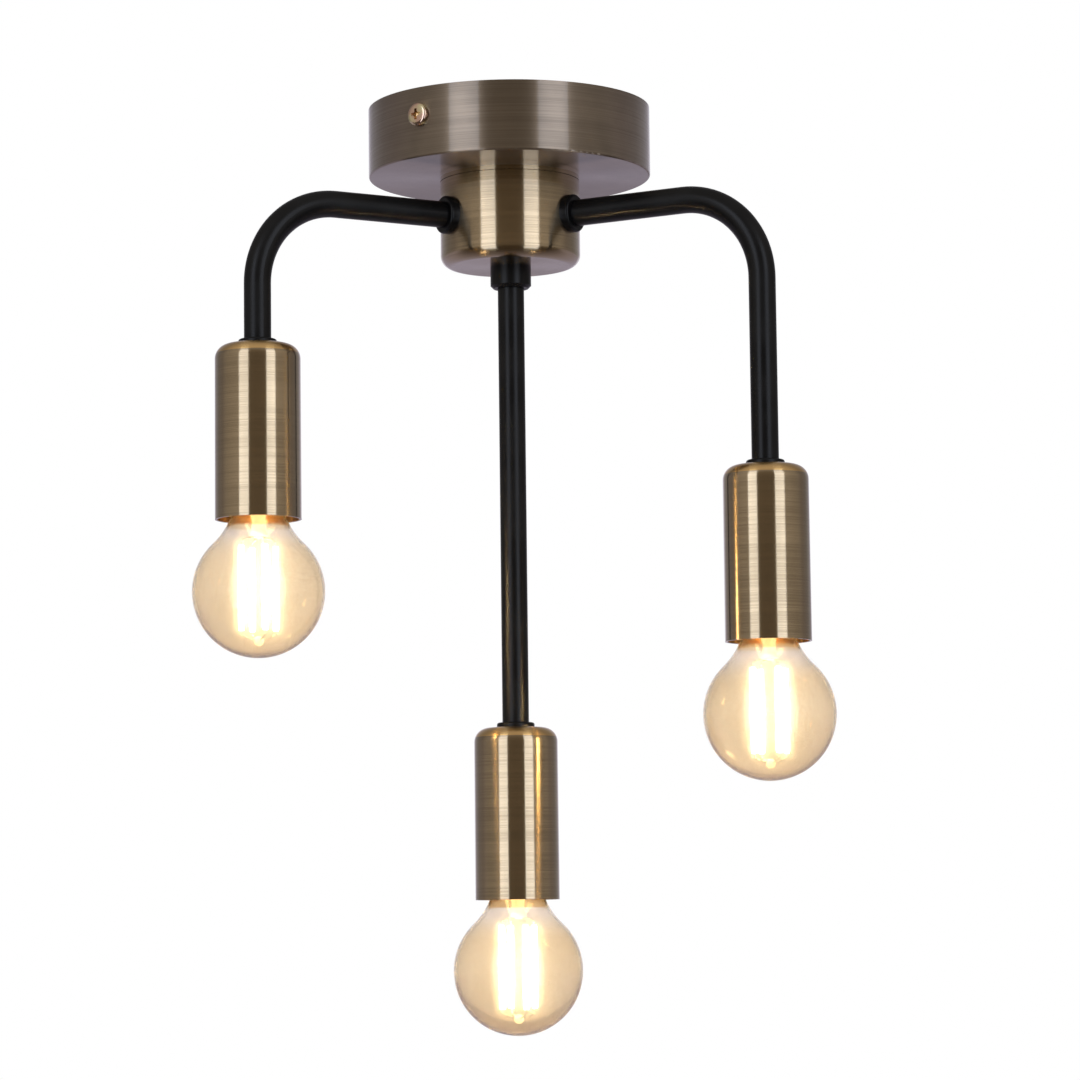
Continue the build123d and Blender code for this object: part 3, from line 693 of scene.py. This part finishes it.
def spin_round(shape: Shape, centre: Vector, steps: int, weld: float) -> None:
    """Spin a chain round an upright axis.

    Args:
        shape: The bmesh with the chain.
        centre: A place on the axis.
        steps: Faces round the axis.
        weld: How near two corners have to be to become one.
    """
    bmesh.ops.spin(
        shape, geom=shape.verts[:] + shape.edges[:], cent=centre, axis=(0.0, 0.0, 1.0),
        angle=2 * math.pi, steps=steps, use_merge=True,
    )
    bmesh.ops.remove_doubles(shape, verts=shape.verts, dist=weld)


def keep_piece(
    shape: Shape, name: str, body: str, finish: Material
) -> bpy.types.Object:
    """Turn a finished bmesh into a smooth piece that rides on a body.

    Args:
        shape: The bmesh, which is freed.
        name: The piece's name.
        body: The CAD body that it moves with.
        finish: Its material.

    Returns:
        The new object.
    """
    bmesh.ops.remove_doubles(shape, verts=shape.verts, dist=WELD_DISTANCE)
    bmesh.ops.recalc_face_normals(shape, faces=shape.faces)
    for face in shape.faces:
        face.smooth = True
    mesh = mesh_from(shape, name)
    mesh.set_sharp_from_angle(angle=SHARP_ANGLE)
    mesh.materials.append(finish)
    piece = add_object(name, mesh)
    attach(piece, body)
    LOG.info("%s built with %d faces", name, len(mesh.polygons))
    return piece


def draw_wire(shape: Shape, points: list[Vector], radius: float, sides: int = 10) -> None:
    """Extrude a round wire along straight runs with mitred bends.

    Args:
        shape: The bmesh that gets the wire.
        points: Ends and bends of the wire.
        radius: The wire's radius.
        sides: Sides of its section.
    """
    runs = [(end - start).normalized() for start, end in zip(points, points[1:])]
    facing = runs[0]
    turn = facing.to_track_quat("Z", "Y").to_matrix().to_4x4()
    start_place = Matrix.Translation(points[0]) @ turn
    ring = bmesh.ops.create_circle(
        shape, cap_ends=True, segments=sides, radius=radius, matrix=start_place
    )["verts"]
    face = next(face for face in ring[0].link_faces if len(face.verts) == sides)
    for place, (start, end) in enumerate(zip(points, points[1:])):
        after = runs[place + 1] if place + 1 < len(runs) else runs[place]
        wanted = (runs[place] + after).normalized()
        pulled = bmesh.ops.extrude_face_region(shape, geom=[face])["geom"]
        face = next(item for item in pulled if isinstance(item, bmesh.types.BMFace))
        bmesh.ops.translate(shape, verts=face.verts, vec=end - start)
        bmesh.ops.rotate(
            shape, verts=face.verts, cent=end, matrix=facing.rotation_difference(wanted).to_matrix()
        )
        facing = wanted


# ---- the light's parts


BRASS_BRIGHT: Colour = (0.50, 0.385, 0.235)
BRASS_DULL: Colour = (0.41, 0.31, 0.18)
BLACK: Colour = (0.003, 0.003, 0.0033)
BLACK_PALER: Colour = (0.006,) * 3


@dataclass
class SideScrews:
    """Two domed screws with a cross recess, which hold the canopy to its bracket."""

    head_radius: float = 4.0 * MILLIMETRE
    head_height: float = 2.0 * MILLIMETRE
    rim_height: float = 0.6 * MILLIMETRE
    squareness: float = 0.5
    shank_radius: float = 1.95 * MILLIMETRE
    root_radius: float = 1.6 * MILLIMETRE
    shank_length: float = 7.9 * MILLIMETRE
    thread_pitch: float = 0.7 * MILLIMETRE
    wing_length: float = 5.4 * MILLIMETRE
    wing_width: float = 1.25 * MILLIMETRE
    recess_depth: float = 2.0 * MILLIMETRE
    recess_taper: tuple[float, float, float] = (0.45, 0.7, 1.0)
    recess_middle: float = 0.48
    tip_length: float = 0.4 * MILLIMETRE
    overlap: float = 0.1 * MILLIMETRE
    sunk: float = 0.05 * MILLIMETRE
    arc_steps: int = 12
    sides: int = 48
    azimuth: float = math.radians(38.0)

    def build(self, finish: Material) -> None:
        """Make both screws as one piece.

        Args:
            finish: The screws' finish.
        """
        low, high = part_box("canopy_screws")
        middle = (low + high) / 2
        pair = bmesh.new()
        for side in (1, -1):
            outwards = Vector((-math.sin(self.azimuth), -math.cos(self.azimuth), 0.0)) * side
            place = self.place_for(middle, outwards)
            shape = self.cut_recess(self.turn_blank())
            bmesh.ops.transform(shape, matrix=place, verts=shape.verts)
            join_onto(pair, shape)
        piece = keep_piece(pair, "side_screws", "root", finish)
        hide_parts("canopy_screws")

    def place_for(self, middle: Vector, outwards: Vector) -> Matrix:
        """Where one screw's seat is, with its own z axis outwards."""
        canopy_low, canopy_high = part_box("canopy")
        seat = middle + outwards * ((canopy_high.x - canopy_low.x) / 2 - self.sunk)
        return Matrix.Translation(seat) @ outwards.to_track_quat("Z", "X").to_matrix().to_4x4()

    def turn_blank(self) -> Shape:
        """Spin the head and its threaded shank."""
        blank = bmesh.new()
        dome = self.head_height - self.rim_height
        rise = [step * math.pi / 2 / self.arc_steps for step in range(self.arc_steps)]
        arc = [
            (
                self.head_radius * math.cos(lift) ** self.squareness,
                self.rim_height + dome * math.sin(lift) ** self.squareness,
            )
            for lift in rise
        ]
        thread = []
        ridges = int(self.shank_length / self.thread_pitch) - 1
        for ridge in range(ridges):
            depth = -self.thread_pitch * (ridge + 0.5)
            thread.append((self.root_radius, depth))
            thread.append((self.shank_radius, depth - self.thread_pitch / 2))
        outline = [(0.0, self.head_height), *reversed(arc), (self.head_radius, 0.0), *thread]
        outline.append((self.root_radius, -self.shank_length + self.tip_length))
        outline.append((0.0, -self.shank_length))
        draw_chain(blank, [Vector((radius, 0.0, height)) for radius, height in outline])
        spin_round(blank, Vector(), self.sides, 0.5 * WELD_DISTANCE)
        bmesh.ops.recalc_face_normals(blank, faces=blank.faces)
        return blank

    def cut_recess(self, blank: Shape) -> Shape:
        """Cut the tapered cross into the head.

        Args:
            blank: The spun screw, which is freed.

        Returns:
            The screw with its recess.
        """
        cutter = bmesh.new()
        over_head = Matrix.Translation((0, 0, self.head_height + self.overlap))
        middle = self.wing_length * self.recess_middle
        for turn, length, width in (
            (0.0, self.wing_length, self.wing_width),
            (math.pi / 2, self.wing_length, self.wing_width),
            (math.pi / 4, middle, middle),
        ):
            block = bmesh.new()
            bmesh.ops.create_cube(block, size=1.0)
            bmesh.ops.scale(block, vec=(length, width, 2 * self.recess_depth), verts=block.verts)
            floor = [vert for vert in block.verts if vert.co.z < 0]
            bmesh.ops.scale(block, vec=self.recess_taper, verts=floor)
            wing_place = over_head @ Matrix.Rotation(turn, 4, "Z")
            bmesh.ops.transform(block, matrix=wing_place, verts=block.verts)
            join_onto(cutter, block)
        screw = add_object("blank", mesh_from(blank, "blank"))
        tool = add_object("cutter", mesh_from(cutter, "cutter"))
        cut = screw.modifiers.new("recess", "BOOLEAN")
        cut.operation = "DIFFERENCE"
        cut.solver = "EXACT"
        cut.use_self = True
        cut.object = tool
        finished = bmesh.new()
        bpy.context.view_layer.update()
        finished.from_object(screw, bpy.context.evaluated_depsgraph_get())
        for holder in (screw, tool):
            mesh = holder.data
            bpy.data.objects.remove(holder)
            bpy.data.meshes.remove(mesh)
        return finished


@dataclass
class MetalBody:
    """Canopy, hub, arms and tube: everything that hangs the lamps from the ceiling."""

    brass: BrushedMetal = BrushedMetal("brushed brass", BRASS_BRIGHT, BRASS_DULL)
    dull_brass: BrushedMetal = BrushedMetal(
        "dulled brass", (0.345, 0.27, 0.195), (0.285, 0.22, 0.155), roughness=0.42, metalness=0.93
    )
    black: SatinCoat = SatinCoat("satin black", BLACK, BLACK_PALER)
    zinc: PlatedMetal = PlatedMetal("bright zinc", (0.52, 0.53, 0.55), (0.66, 0.67, 0.68))
    yellow_zinc: PlatedMetal = PlatedMetal(
        "yellow zinc", (0.78, 0.52, 0.42), (0.86, 0.78, 0.50),
        roughness=0.14, grain_size=0.12 * MILLIMETRE,
    )
    brass_nodes: tuple[str, ...] = ("hub_lid", "hub_cup")
    dull_nodes: tuple[str, ...] = ("canopy",)
    black_nodes: tuple[str, ...] = (
        "arm_left", "arm_right", "drop_tube", "ferrule_left", "ferrule_right", "drop_coupling",
    )
    zinc_nodes: tuple[str, ...] = (
        "ceiling_bracket", "hub_nipple", "nipple_washer", "nipple_nuts", "tube_nuts",
        "terminal_screws",
    )
    screws: SideScrews = field(default_factory=SideScrews)

    def dress(self) -> None:
        """Give each node its finish."""
        dress_groups(
            (self.brass, self.brass_nodes),
            (self.dull_brass, self.dull_nodes),
            (self.black, self.black_nodes),
            (self.zinc, self.zinc_nodes),
        )
        screw_finish = self.yellow_zinc.build()
        dress("earth_screw", screw_finish)
        self.screws.build(screw_finish)


@dataclass
class Wires:
    """Connector, terminal block and leads inside canopy and tubes."""

    white: Moulding = Moulding("white moulding", (0.72, 0.72, 0.69), (0.80, 0.80, 0.78))
    sheath: Moulding = Moulding("lead sheath", (0.62, 0.62, 0.6), (0.7, 0.7, 0.68), roughness=0.6)
    brown: Moulding = Moulding(
        "brown core", (0.13, 0.055, 0.025), (0.17, 0.075, 0.035), roughness=0.45
    )
    green: Moulding = Moulding("earth core", (0.1, 0.3, 0.05), (0.55, 0.5, 0.05), roughness=0.45)

    def dress(self) -> None:
        """Give each node its finish."""
        dress_groups(
            (self.white, ("terminal_block", "lead_splice")),
            (self.sheath, tuple(f"lamp_lead_{lamp.value}" for lamp in Lamp)),
            (self.brown, ("supply_leads",)),
            (self.green, ("earth_lead",)),
        )


@dataclass
class Innards:
    """What is seen inside one bulb: glass mount, lit filaments, and the wires that hold them."""

    lamp: Lamp
    filament_count: int = 4
    ring_radius: float = 6.2 * MILLIMETRE
    start_angle: float = math.radians(25.0)
    filament_radius: float = 1.05 * MILLIMETRE
    filament_length: float = 29.0 * MILLIMETRE
    filament_sides: int = 20
    end_rounding: float = 0.6
    top_below_mouth: float = 8.9 * MILLIMETRE
    tab_radius: float = 0.45 * MILLIMETRE
    tab_length: float = 1.5 * MILLIMETRE
    wire_radius: float = 0.28 * MILLIMETRE
    bead_radius: float = 1.7 * MILLIMETRE
    bead_below_filaments: float = 3.4 * MILLIMETRE
    tab_overlap: float = 0.4 * MILLIMETRE
    gather_radius: float = 2.3 * MILLIMETRE
    pair_radius: float = 1.5 * MILLIMETRE
    pair_enters: float = 1.0 * MILLIMETRE
    pair_ends: float = -7.0 * MILLIMETRE
    level_tolerance: float = 0.001 * MILLIMETRE
    mount_outline: tuple[Span, ...] = (
        (6.9, 8.2), (6.7, 7.3), (4.6, 5.6), (3.1, 3.2), (2.6, 0.6),
        (2.7, -1.6), (3.1, -3.6), (3.5, -5.0), (3.0, -6.0), (1.6, -6.5),
    )
    mount_tip: float = 0.6
    mount_sides: int = 40
    press_top: float = 0.4
    press_bottom: float = -6.2
    press_wider: float = 0.55
    press_thinner: float = 0.45

    def __post_init__(self) -> None:
        """Read where this bulb is from its CAD nodes."""
        low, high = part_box(f"bulb_filaments_{self.lamp.value}")
        self.axis = Vector(((low.x + high.x) / 2, (low.y + high.y) / 2, 0.0))
        self.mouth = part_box(f"sleeve_{self.lamp.value}")[0].z
        self.body = f"bulb_{self.lamp.value}"

    def spot(self, radius: float, angle: float, below: float) -> Vector:
        """A point by its distance and direction from the axis, and its depth under the mouth."""
        east, north = radius * math.cos(angle), radius * math.sin(angle)
        return self.axis + Vector((east, north, self.mouth - below))

    def angles(self) -> list[float]:
        """The filaments' directions from the axis."""
        pitch = 2 * math.pi / self.filament_count
        return [self.start_angle + pitch * step for step in range(self.filament_count)]

    def build(self, coating: Material, wire: Material, glass: Material) -> None:
        """Make the three pieces.

        Args:
            coating: Finish of the lit filaments.
            wire: Finish of the wires and tabs.
            glass: Finish of the mount and the lower bead.
        """
        self.build_filaments(coating)
        self.build_wires(wire)
        self.build_mount(glass)

    def build_filaments(self, coating: Material) -> None:
        """Coated rods with rounded ends."""
        rods = bmesh.new()
        middle_below = self.top_below_mouth + self.filament_length / 2
        for angle in self.angles():
            middle = self.spot(self.ring_radius, angle, middle_below)
            rod = bmesh.ops.create_cone(
                rods, cap_ends=True, segments=self.filament_sides,
                radius1=self.filament_radius, radius2=self.filament_radius,
                depth=self.filament_length, matrix=Matrix.Translation(middle),
            )["verts"]
            touched = {edge for vert in rod for edge in vert.link_edges}
            rims = [edge for edge in touched if edge.verts[0].co.z == edge.verts[1].co.z]
            bmesh.ops.bevel(
                rods, geom=rims, affect="EDGES", offset=self.filament_radius * self.end_rounding,
                segments=3, profile=0.5, material=-1,
            )
        piece = keep_piece(rods, f"lit_filaments_{self.lamp.value}", self.body, coating)
        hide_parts(f"bulb_filaments_{self.lamp.value}")

    def build_wires(self, wire: Material) -> None:
        """Tabs on the filaments' ends, wires up into the mount and down to the bead."""
        wires = bmesh.new()
        top = self.top_below_mouth
        bottom = top + self.filament_length
        bead = bottom + self.bead_below_filaments
        ring, tab, overlap = self.ring_radius, self.tab_length, self.tab_overlap
        for place, angle in enumerate(self.angles()):
            side = 1 if place < self.filament_count / 2 else -1
            inner = self.start_angle + math.pi / self.filament_count + (0 if side > 0 else math.pi)
            runs = (
                (self.tab_radius, ((ring, angle, top + overlap), (ring, angle, top - tab))),
                (self.tab_radius, ((ring, angle, bottom - overlap), (ring, angle, bottom + tab))),
                (self.wire_radius, (
                    (ring, angle, top - tab * 0.6),
                    (ring * 0.8, angle, top - tab * 1.25),
                    (self.gather_radius, inner, top - tab * 1.7),
                    (self.pair_radius, inner, self.pair_enters),
                    (self.pair_radius, inner, self.pair_ends),
                )),
                (self.wire_radius, (
                    (ring, angle, bottom + tab * 0.6),
                    (ring * 0.8, angle, bottom + tab * 1.3),
                    (self.bead_radius * 0.4, angle, bead),
                )),
            )
            for radius, corners in runs:
                draw_wire(wires, [self.spot(*corner) for corner in corners], radius)
        name = f"filament_wires_{self.lamp.value}"
        piece = keep_piece(wires, name, self.body, wire)
        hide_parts(f"bulb_wires_{self.lamp.value}")

    def build_mount(self, glass: Material) -> None:
        """Flared glass mount with a flattened press, and the glass bead under the filaments."""
        mount = bmesh.new()
        top, bottom = self.mount_outline[0][1], self.mount_outline[-1][1] - self.mount_tip
        outline = [(0.0, top), *self.mount_outline, (0.0, bottom)]
        edges = draw_chain(mount, [
            self.axis + Vector((radius * MILLIMETRE, 0.0, self.mouth + height * MILLIMETRE))
            for radius, height in outline
        ])
        bmesh.ops.subdivide_edges(mount, edges=edges, cuts=2, smooth=0.0)
        spin_round(mount, self.axis, self.mount_sides, 5 * WELD_DISTANCE)
        highest = self.mouth + self.press_top * MILLIMETRE
        lowest = self.mouth + self.press_bottom * MILLIMETRE
        middle = (highest + lowest) / 2
        turn = Matrix.Rotation(-self.start_angle - math.pi / self.filament_count, 4, "Z")
        space = turn @ Matrix.Translation(-self.axis)
        near = self.level_tolerance
        for level in sorted({round(vert.co.z, 7) for vert in mount.verts}):
            pressed = 1.0 - ((level - middle) / ((highest - lowest) / 2)) ** 2
            wider, thinner = self.press_wider * pressed, self.press_thinner * pressed
            if pressed > 0.0:
                bmesh.ops.scale(
                    mount,
                    vec=(1.0 + wider, 1.0 - thinner, 1.0),
                    space=space,
                    verts=[vert for vert in mount.verts if abs(vert.co.z - level) < near],
                )
        below = self.top_below_mouth + self.filament_length + self.bead_below_filaments
        bmesh.ops.create_uvsphere(
            mount, u_segments=24, v_segments=14, radius=self.bead_radius,
            matrix=Matrix.Translation(self.spot(0.0, 0.0, below)),
        )
        piece = keep_piece(mount, f"glass_mount_{self.lamp.value}", self.body, glass)
        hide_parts(f"bulb_stem_{self.lamp.value}")


@dataclass
class LampSet:
    """Sleeves, lampholders and bulbs of the three lamps."""

    black: SatinCoat = SatinCoat("satin black collar", BLACK, BLACK_PALER)
    holder: Moulding = Moulding("black moulding", (0.012,) * 3, (0.02,) * 3, roughness=0.42)
    nickel: PlatedMetal = PlatedMetal(
        "nickel plate", (0.58, 0.54, 0.48), (0.70, 0.66, 0.60), roughness=0.22
    )
    contact: PlatedMetal = PlatedMetal("contact brass", (0.62, 0.46, 0.22), (0.78, 0.60, 0.30))
    solder: PlatedMetal = PlatedMetal(
        "solder", (0.55, 0.56, 0.58), (0.70, 0.71, 0.72), roughness=0.4
    )
    insulator: Moulding = Moulding(
        "black insulator", (0.01,) * 3, (0.015, 0.015, 0.018), roughness=0.12
    )
    amber_tint: Colour = (0.885, 0.785, 0.65)
    amber_deeper: Colour = (0.865, 0.755, 0.605)
    tint_top_below_mouth: float = 1.0 * MILLIMETRE
    tint_full_below_mouth: float = 12.0 * MILLIMETRE
    # where the painted reflection on the glass's neck begins, under the mouth
    neck_below_mouth: float = 3.0 * MILLIMETRE
    haze_share: float = 0.05
    bloom_share: float = 0.15
    edge_depth: float = 0.7
    sleeve_skin: float = 0.4 * MILLIMETRE
    # the mount glass gets a painted glow, an emission that stands in for the filaments' light
    # carried up the glass
    mount_glass: LampGlass = LampGlass(
        "mount glass", (0.99, 0.97, 0.92), (0.98, 0.95, 0.88),
        haze_share=0.25, haze_roughness=0.5, painted_glow=(0.95, 0.76, 0.42), clearness=0.35,
    )
    coating: LitCoating = LitCoating("lit filament", (1.0, 0.81, 0.46), 95.0)
    wire: PlatedMetal = PlatedMetal("bare wire", (0.60, 0.58, 0.54), (0.70, 0.68, 0.64))

    def dress(self) -> None:
        """Give each node of each lamp its finish, and build what is inside its bulb."""
        built = {
            "collar": self.black.build(),
            "lampholder": self.holder.build(),
            "screw_shell": self.nickel.build(),
            "holder_contact": self.contact.build(),
            "bulb_tip": self.solder.build(),
            "bulb_insulator": self.insulator.build(),
        }
        built["bulb_cap"] = built["screw_shell"]
        inside = [finish.build() for finish in (self.coating, self.wire, self.mount_glass)]
        for lamp in Lamp:
            for piece, material in built.items():
                dress(f"{piece}_{lamp.value}", material)
            sleeve = f"sleeve_{lamp.value}"
            low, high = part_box(sleeve)
            brass = BrushedMetal(
                f"brushed brass {lamp.value}", BRASS_BRIGHT, BRASS_DULL,
                bare_inside=(high.x - low.x) / 2 - self.sleeve_skin, axis=middle_of(sleeve),
            )
            dress(sleeve, brass.build())
            mouth = low.z
            amber = LampGlass(
                f"amber glass {lamp.value}", self.amber_tint, self.amber_deeper,
                tint_top=mouth - self.tint_top_below_mouth,
                tint_full=mouth - self.tint_full_below_mouth,
                haze_share=self.haze_share, bloom_share=self.bloom_share,
                edge_depth=self.edge_depth, neck_end=mouth - self.neck_below_mouth,
            )
            dress(f"bulb_glass_{lamp.value}", amber.build())
            Innards(lamp).build(*inside)


# ---- studio and camera


@dataclass(frozen=True)
class PhotoCamera:
    """Camera fitted to measured edges of the photograph."""

    place: tuple[float, float, float] = (0.00978, -1.3348, -0.2927)
    yaw: float = math.radians(-0.022)
    tilt: float = math.radians(5.934)
    roll: float = math.radians(-0.682)
    focal_pixels: float = 3810.6
    frame_pixels: float = 1080.0
    sensor_millimetres: float = 36.0

    def build(self) -> bpy.types.Object:
        """Set up the scene's camera and return it."""
        ahead = Vector((
            math.sin(self.yaw) * math.cos(self.tilt),
            math.cos(self.yaw) * math.cos(self.tilt),
            math.sin(self.tilt),
        ))
        level = Vector((math.cos(self.yaw), -math.sin(self.yaw), 0.0))
        above = level.cross(ahead)
        right = level * math.cos(self.roll) + above * math.sin(self.roll)
        up = above * math.cos(self.roll) - level * math.sin(self.roll)
        data = bpy.data.cameras.new("photo camera")
        data.sensor_width = self.sensor_millimetres
        data.lens = self.sensor_millimetres * self.focal_pixels / self.frame_pixels
        camera = add_object("photo camera", data)
        turn = Matrix((right, up, -ahead)).transposed()
        camera.matrix_world = Matrix.Translation(self.place) @ turn.to_4x4()
        bpy.context.scene.camera = camera
        return camera


@dataclass(frozen=True)
class Studio:
    """White surroundings, two tall soft boxes, and a pale floor well below the light."""

    box_angle: float = math.radians(36.0)
    box_distance: float = 1.4
    box_width: float = 0.62
    box_height: float = 1.9
    box_radiance: float = 1.85
    box_colour: Colour = (0.88, 0.96, 1.13)
    floor_level: float = -2.4
    floor_radius: float = 30.0
    floor_colour: Colour = (0.88, 0.87, 0.89)
    floor_paleness: float = 0.6
    floor_through_glass: Colour = (0.97, 0.96, 0.98)
    floor_fade: Span = (-2.0, 3.0)
    floor_mirrored_behind: Colour = (0.345, 0.31, 0.38)
    floor_mirrored_ahead: Colour = (0.06, 0.045, 0.03)
    room_light: float = 0.55
    surroundings: tuple[tuple[float, Colour], ...] = (
        (0.0, (0.175, 0.14, 0.103)), (0.07, (0.175, 0.14, 0.103)),
        (0.2, (0.50, 0.46, 0.42)), (0.37, (0.42, 0.38, 0.34)),
        (0.5, (0.35, 0.32, 0.29)), (0.63, (0.21, 0.19, 0.18)),
        (0.79, (0.20, 0.19, 0.19)), (0.91, (0.29, 0.28, 0.30)),
        (0.953, (0.38, 0.36, 0.41)), (0.985, (0.72, 0.69, 0.77)),
    )

    def build(self) -> None:
        """Set the world, the lamps and the floor."""
        self.build_world()
        for side in (-1, 1):
            self.build_soft_box(side)
        self.build_floor()

    def build_world(self) -> None:
        """White behind the object, and the dim room that a metal surface mirrors."""
        world = bpy.data.worlds.new("studio")
        world.use_nodes = True
        bpy.context.scene.world = world
        wiring = Wiring(world.node_tree)
        direction = wiring.split(wiring.add("ShaderNodeTexCoord").outputs["Generated"])
        ramp = wiring.add("ShaderNodeValToRGB")
        elements = ramp.color_ramp.elements
        while len(elements) < len(self.surroundings):
            elements.new(0.5)
        for element, (position, level) in zip(elements, self.surroundings):
            element.position = position
            element.color = (*level, 1.0)
        wiring.feed(ramp.inputs[0], wiring.maths("MULTIPLY_ADD", direction[1], 0.5, 0.5))
        path = wiring.add("ShaderNodeLightPath").outputs
        white = wiring.maths("MAXIMUM", path["Is Camera Ray"], path["Is Transmission Ray"])
        fill = wiring.blend(path["Is Glossy Ray"], (self.room_light,) * 3, ramp.outputs[0])
        background = world.node_tree.nodes["Background"]
        wiring.feed(background.inputs["Color"], wiring.blend(white, fill, (1.0, 1.0, 1.0)))

    def build_soft_box(self, side: int) -> None:
        """Hang one tall soft box.

        Args:
            side: -1 for the left of the camera, 1 for the right.
        """
        data = bpy.data.lights.new(f"soft box {side}", "AREA")
        data.shape = "RECTANGLE"
        data.size = self.box_width
        data.size_y = self.box_height
        data.energy = self.box_radiance * math.pi * self.box_width * self.box_height
        data.color = self.box_colour
        lamp = add_object(data.name, data)
        lamp.visible_camera = False
        turn = Matrix.Rotation(side * self.box_angle, 4, "Z")
        stand = Matrix.Translation((0, -self.box_distance, 0))
        lamp.matrix_world = turn @ stand @ Matrix.Rotation(math.pi / 2, 4, "X")

    def build_floor(self) -> None:
        """Lay the pale floor, white through glass and a soft lavender in what mirrors it."""
        sheet = bmesh.new()
        bmesh.ops.create_circle(sheet, cap_ends=True, segments=64, radius=self.floor_radius)
        bmesh.ops.translate(sheet, verts=sheet.verts, vec=(0, 0, self.floor_level))
        floor = add_object("floor", mesh_from(sheet, "floor"))
        material = Moulding("pale floor", *(self.floor_colour,) * 2, roughness=0.9).build()
        wiring = Wiring(material.node_tree)
        path = wiring.add("ShaderNodeLightPath").outputs
        painted_glow = wiring.add("ShaderNodeEmission")
        place = wiring.split(wiring.add("ShaderNodeTexCoord").outputs["Object"])
        behind = wiring.span(place[1], *self.floor_fade)
        mirrored = wiring.blend(behind, self.floor_mirrored_ahead, self.floor_mirrored_behind)
        light = wiring.blend(path["Is Glossy Ray"], self.floor_through_glass, mirrored)
        wiring.feed(painted_glow.inputs["Color"], light)
        seen = wiring.maths("MAXIMUM", path["Is Camera Ray"], path["Is Transmission Ray"])
        seen = wiring.maths("MULTIPLY", seen, self.floor_paleness)
        lit = wiring.maths("MAXIMUM", path["Is Glossy Ray"], seen)
        shader = material.node_tree.nodes["Principled BSDF"]
        mix_shaders(material, wiring, lit, shader.outputs[0], painted_glow.outputs[0])
        floor.data.materials.append(material)


# ---- putting it together


def main() -> None:
    """Build the scene."""
    logging.basicConfig(level=logging.INFO, format="%(name)s: %(message)s")
    bpy.context.scene.view_settings.view_transform = "Standard"
    PhotoCamera().build()
    Studio().build()
    MetalBody().dress()
    Wires().dress()
    LampSet().dress()


if __name__ == "__main__":
    main()
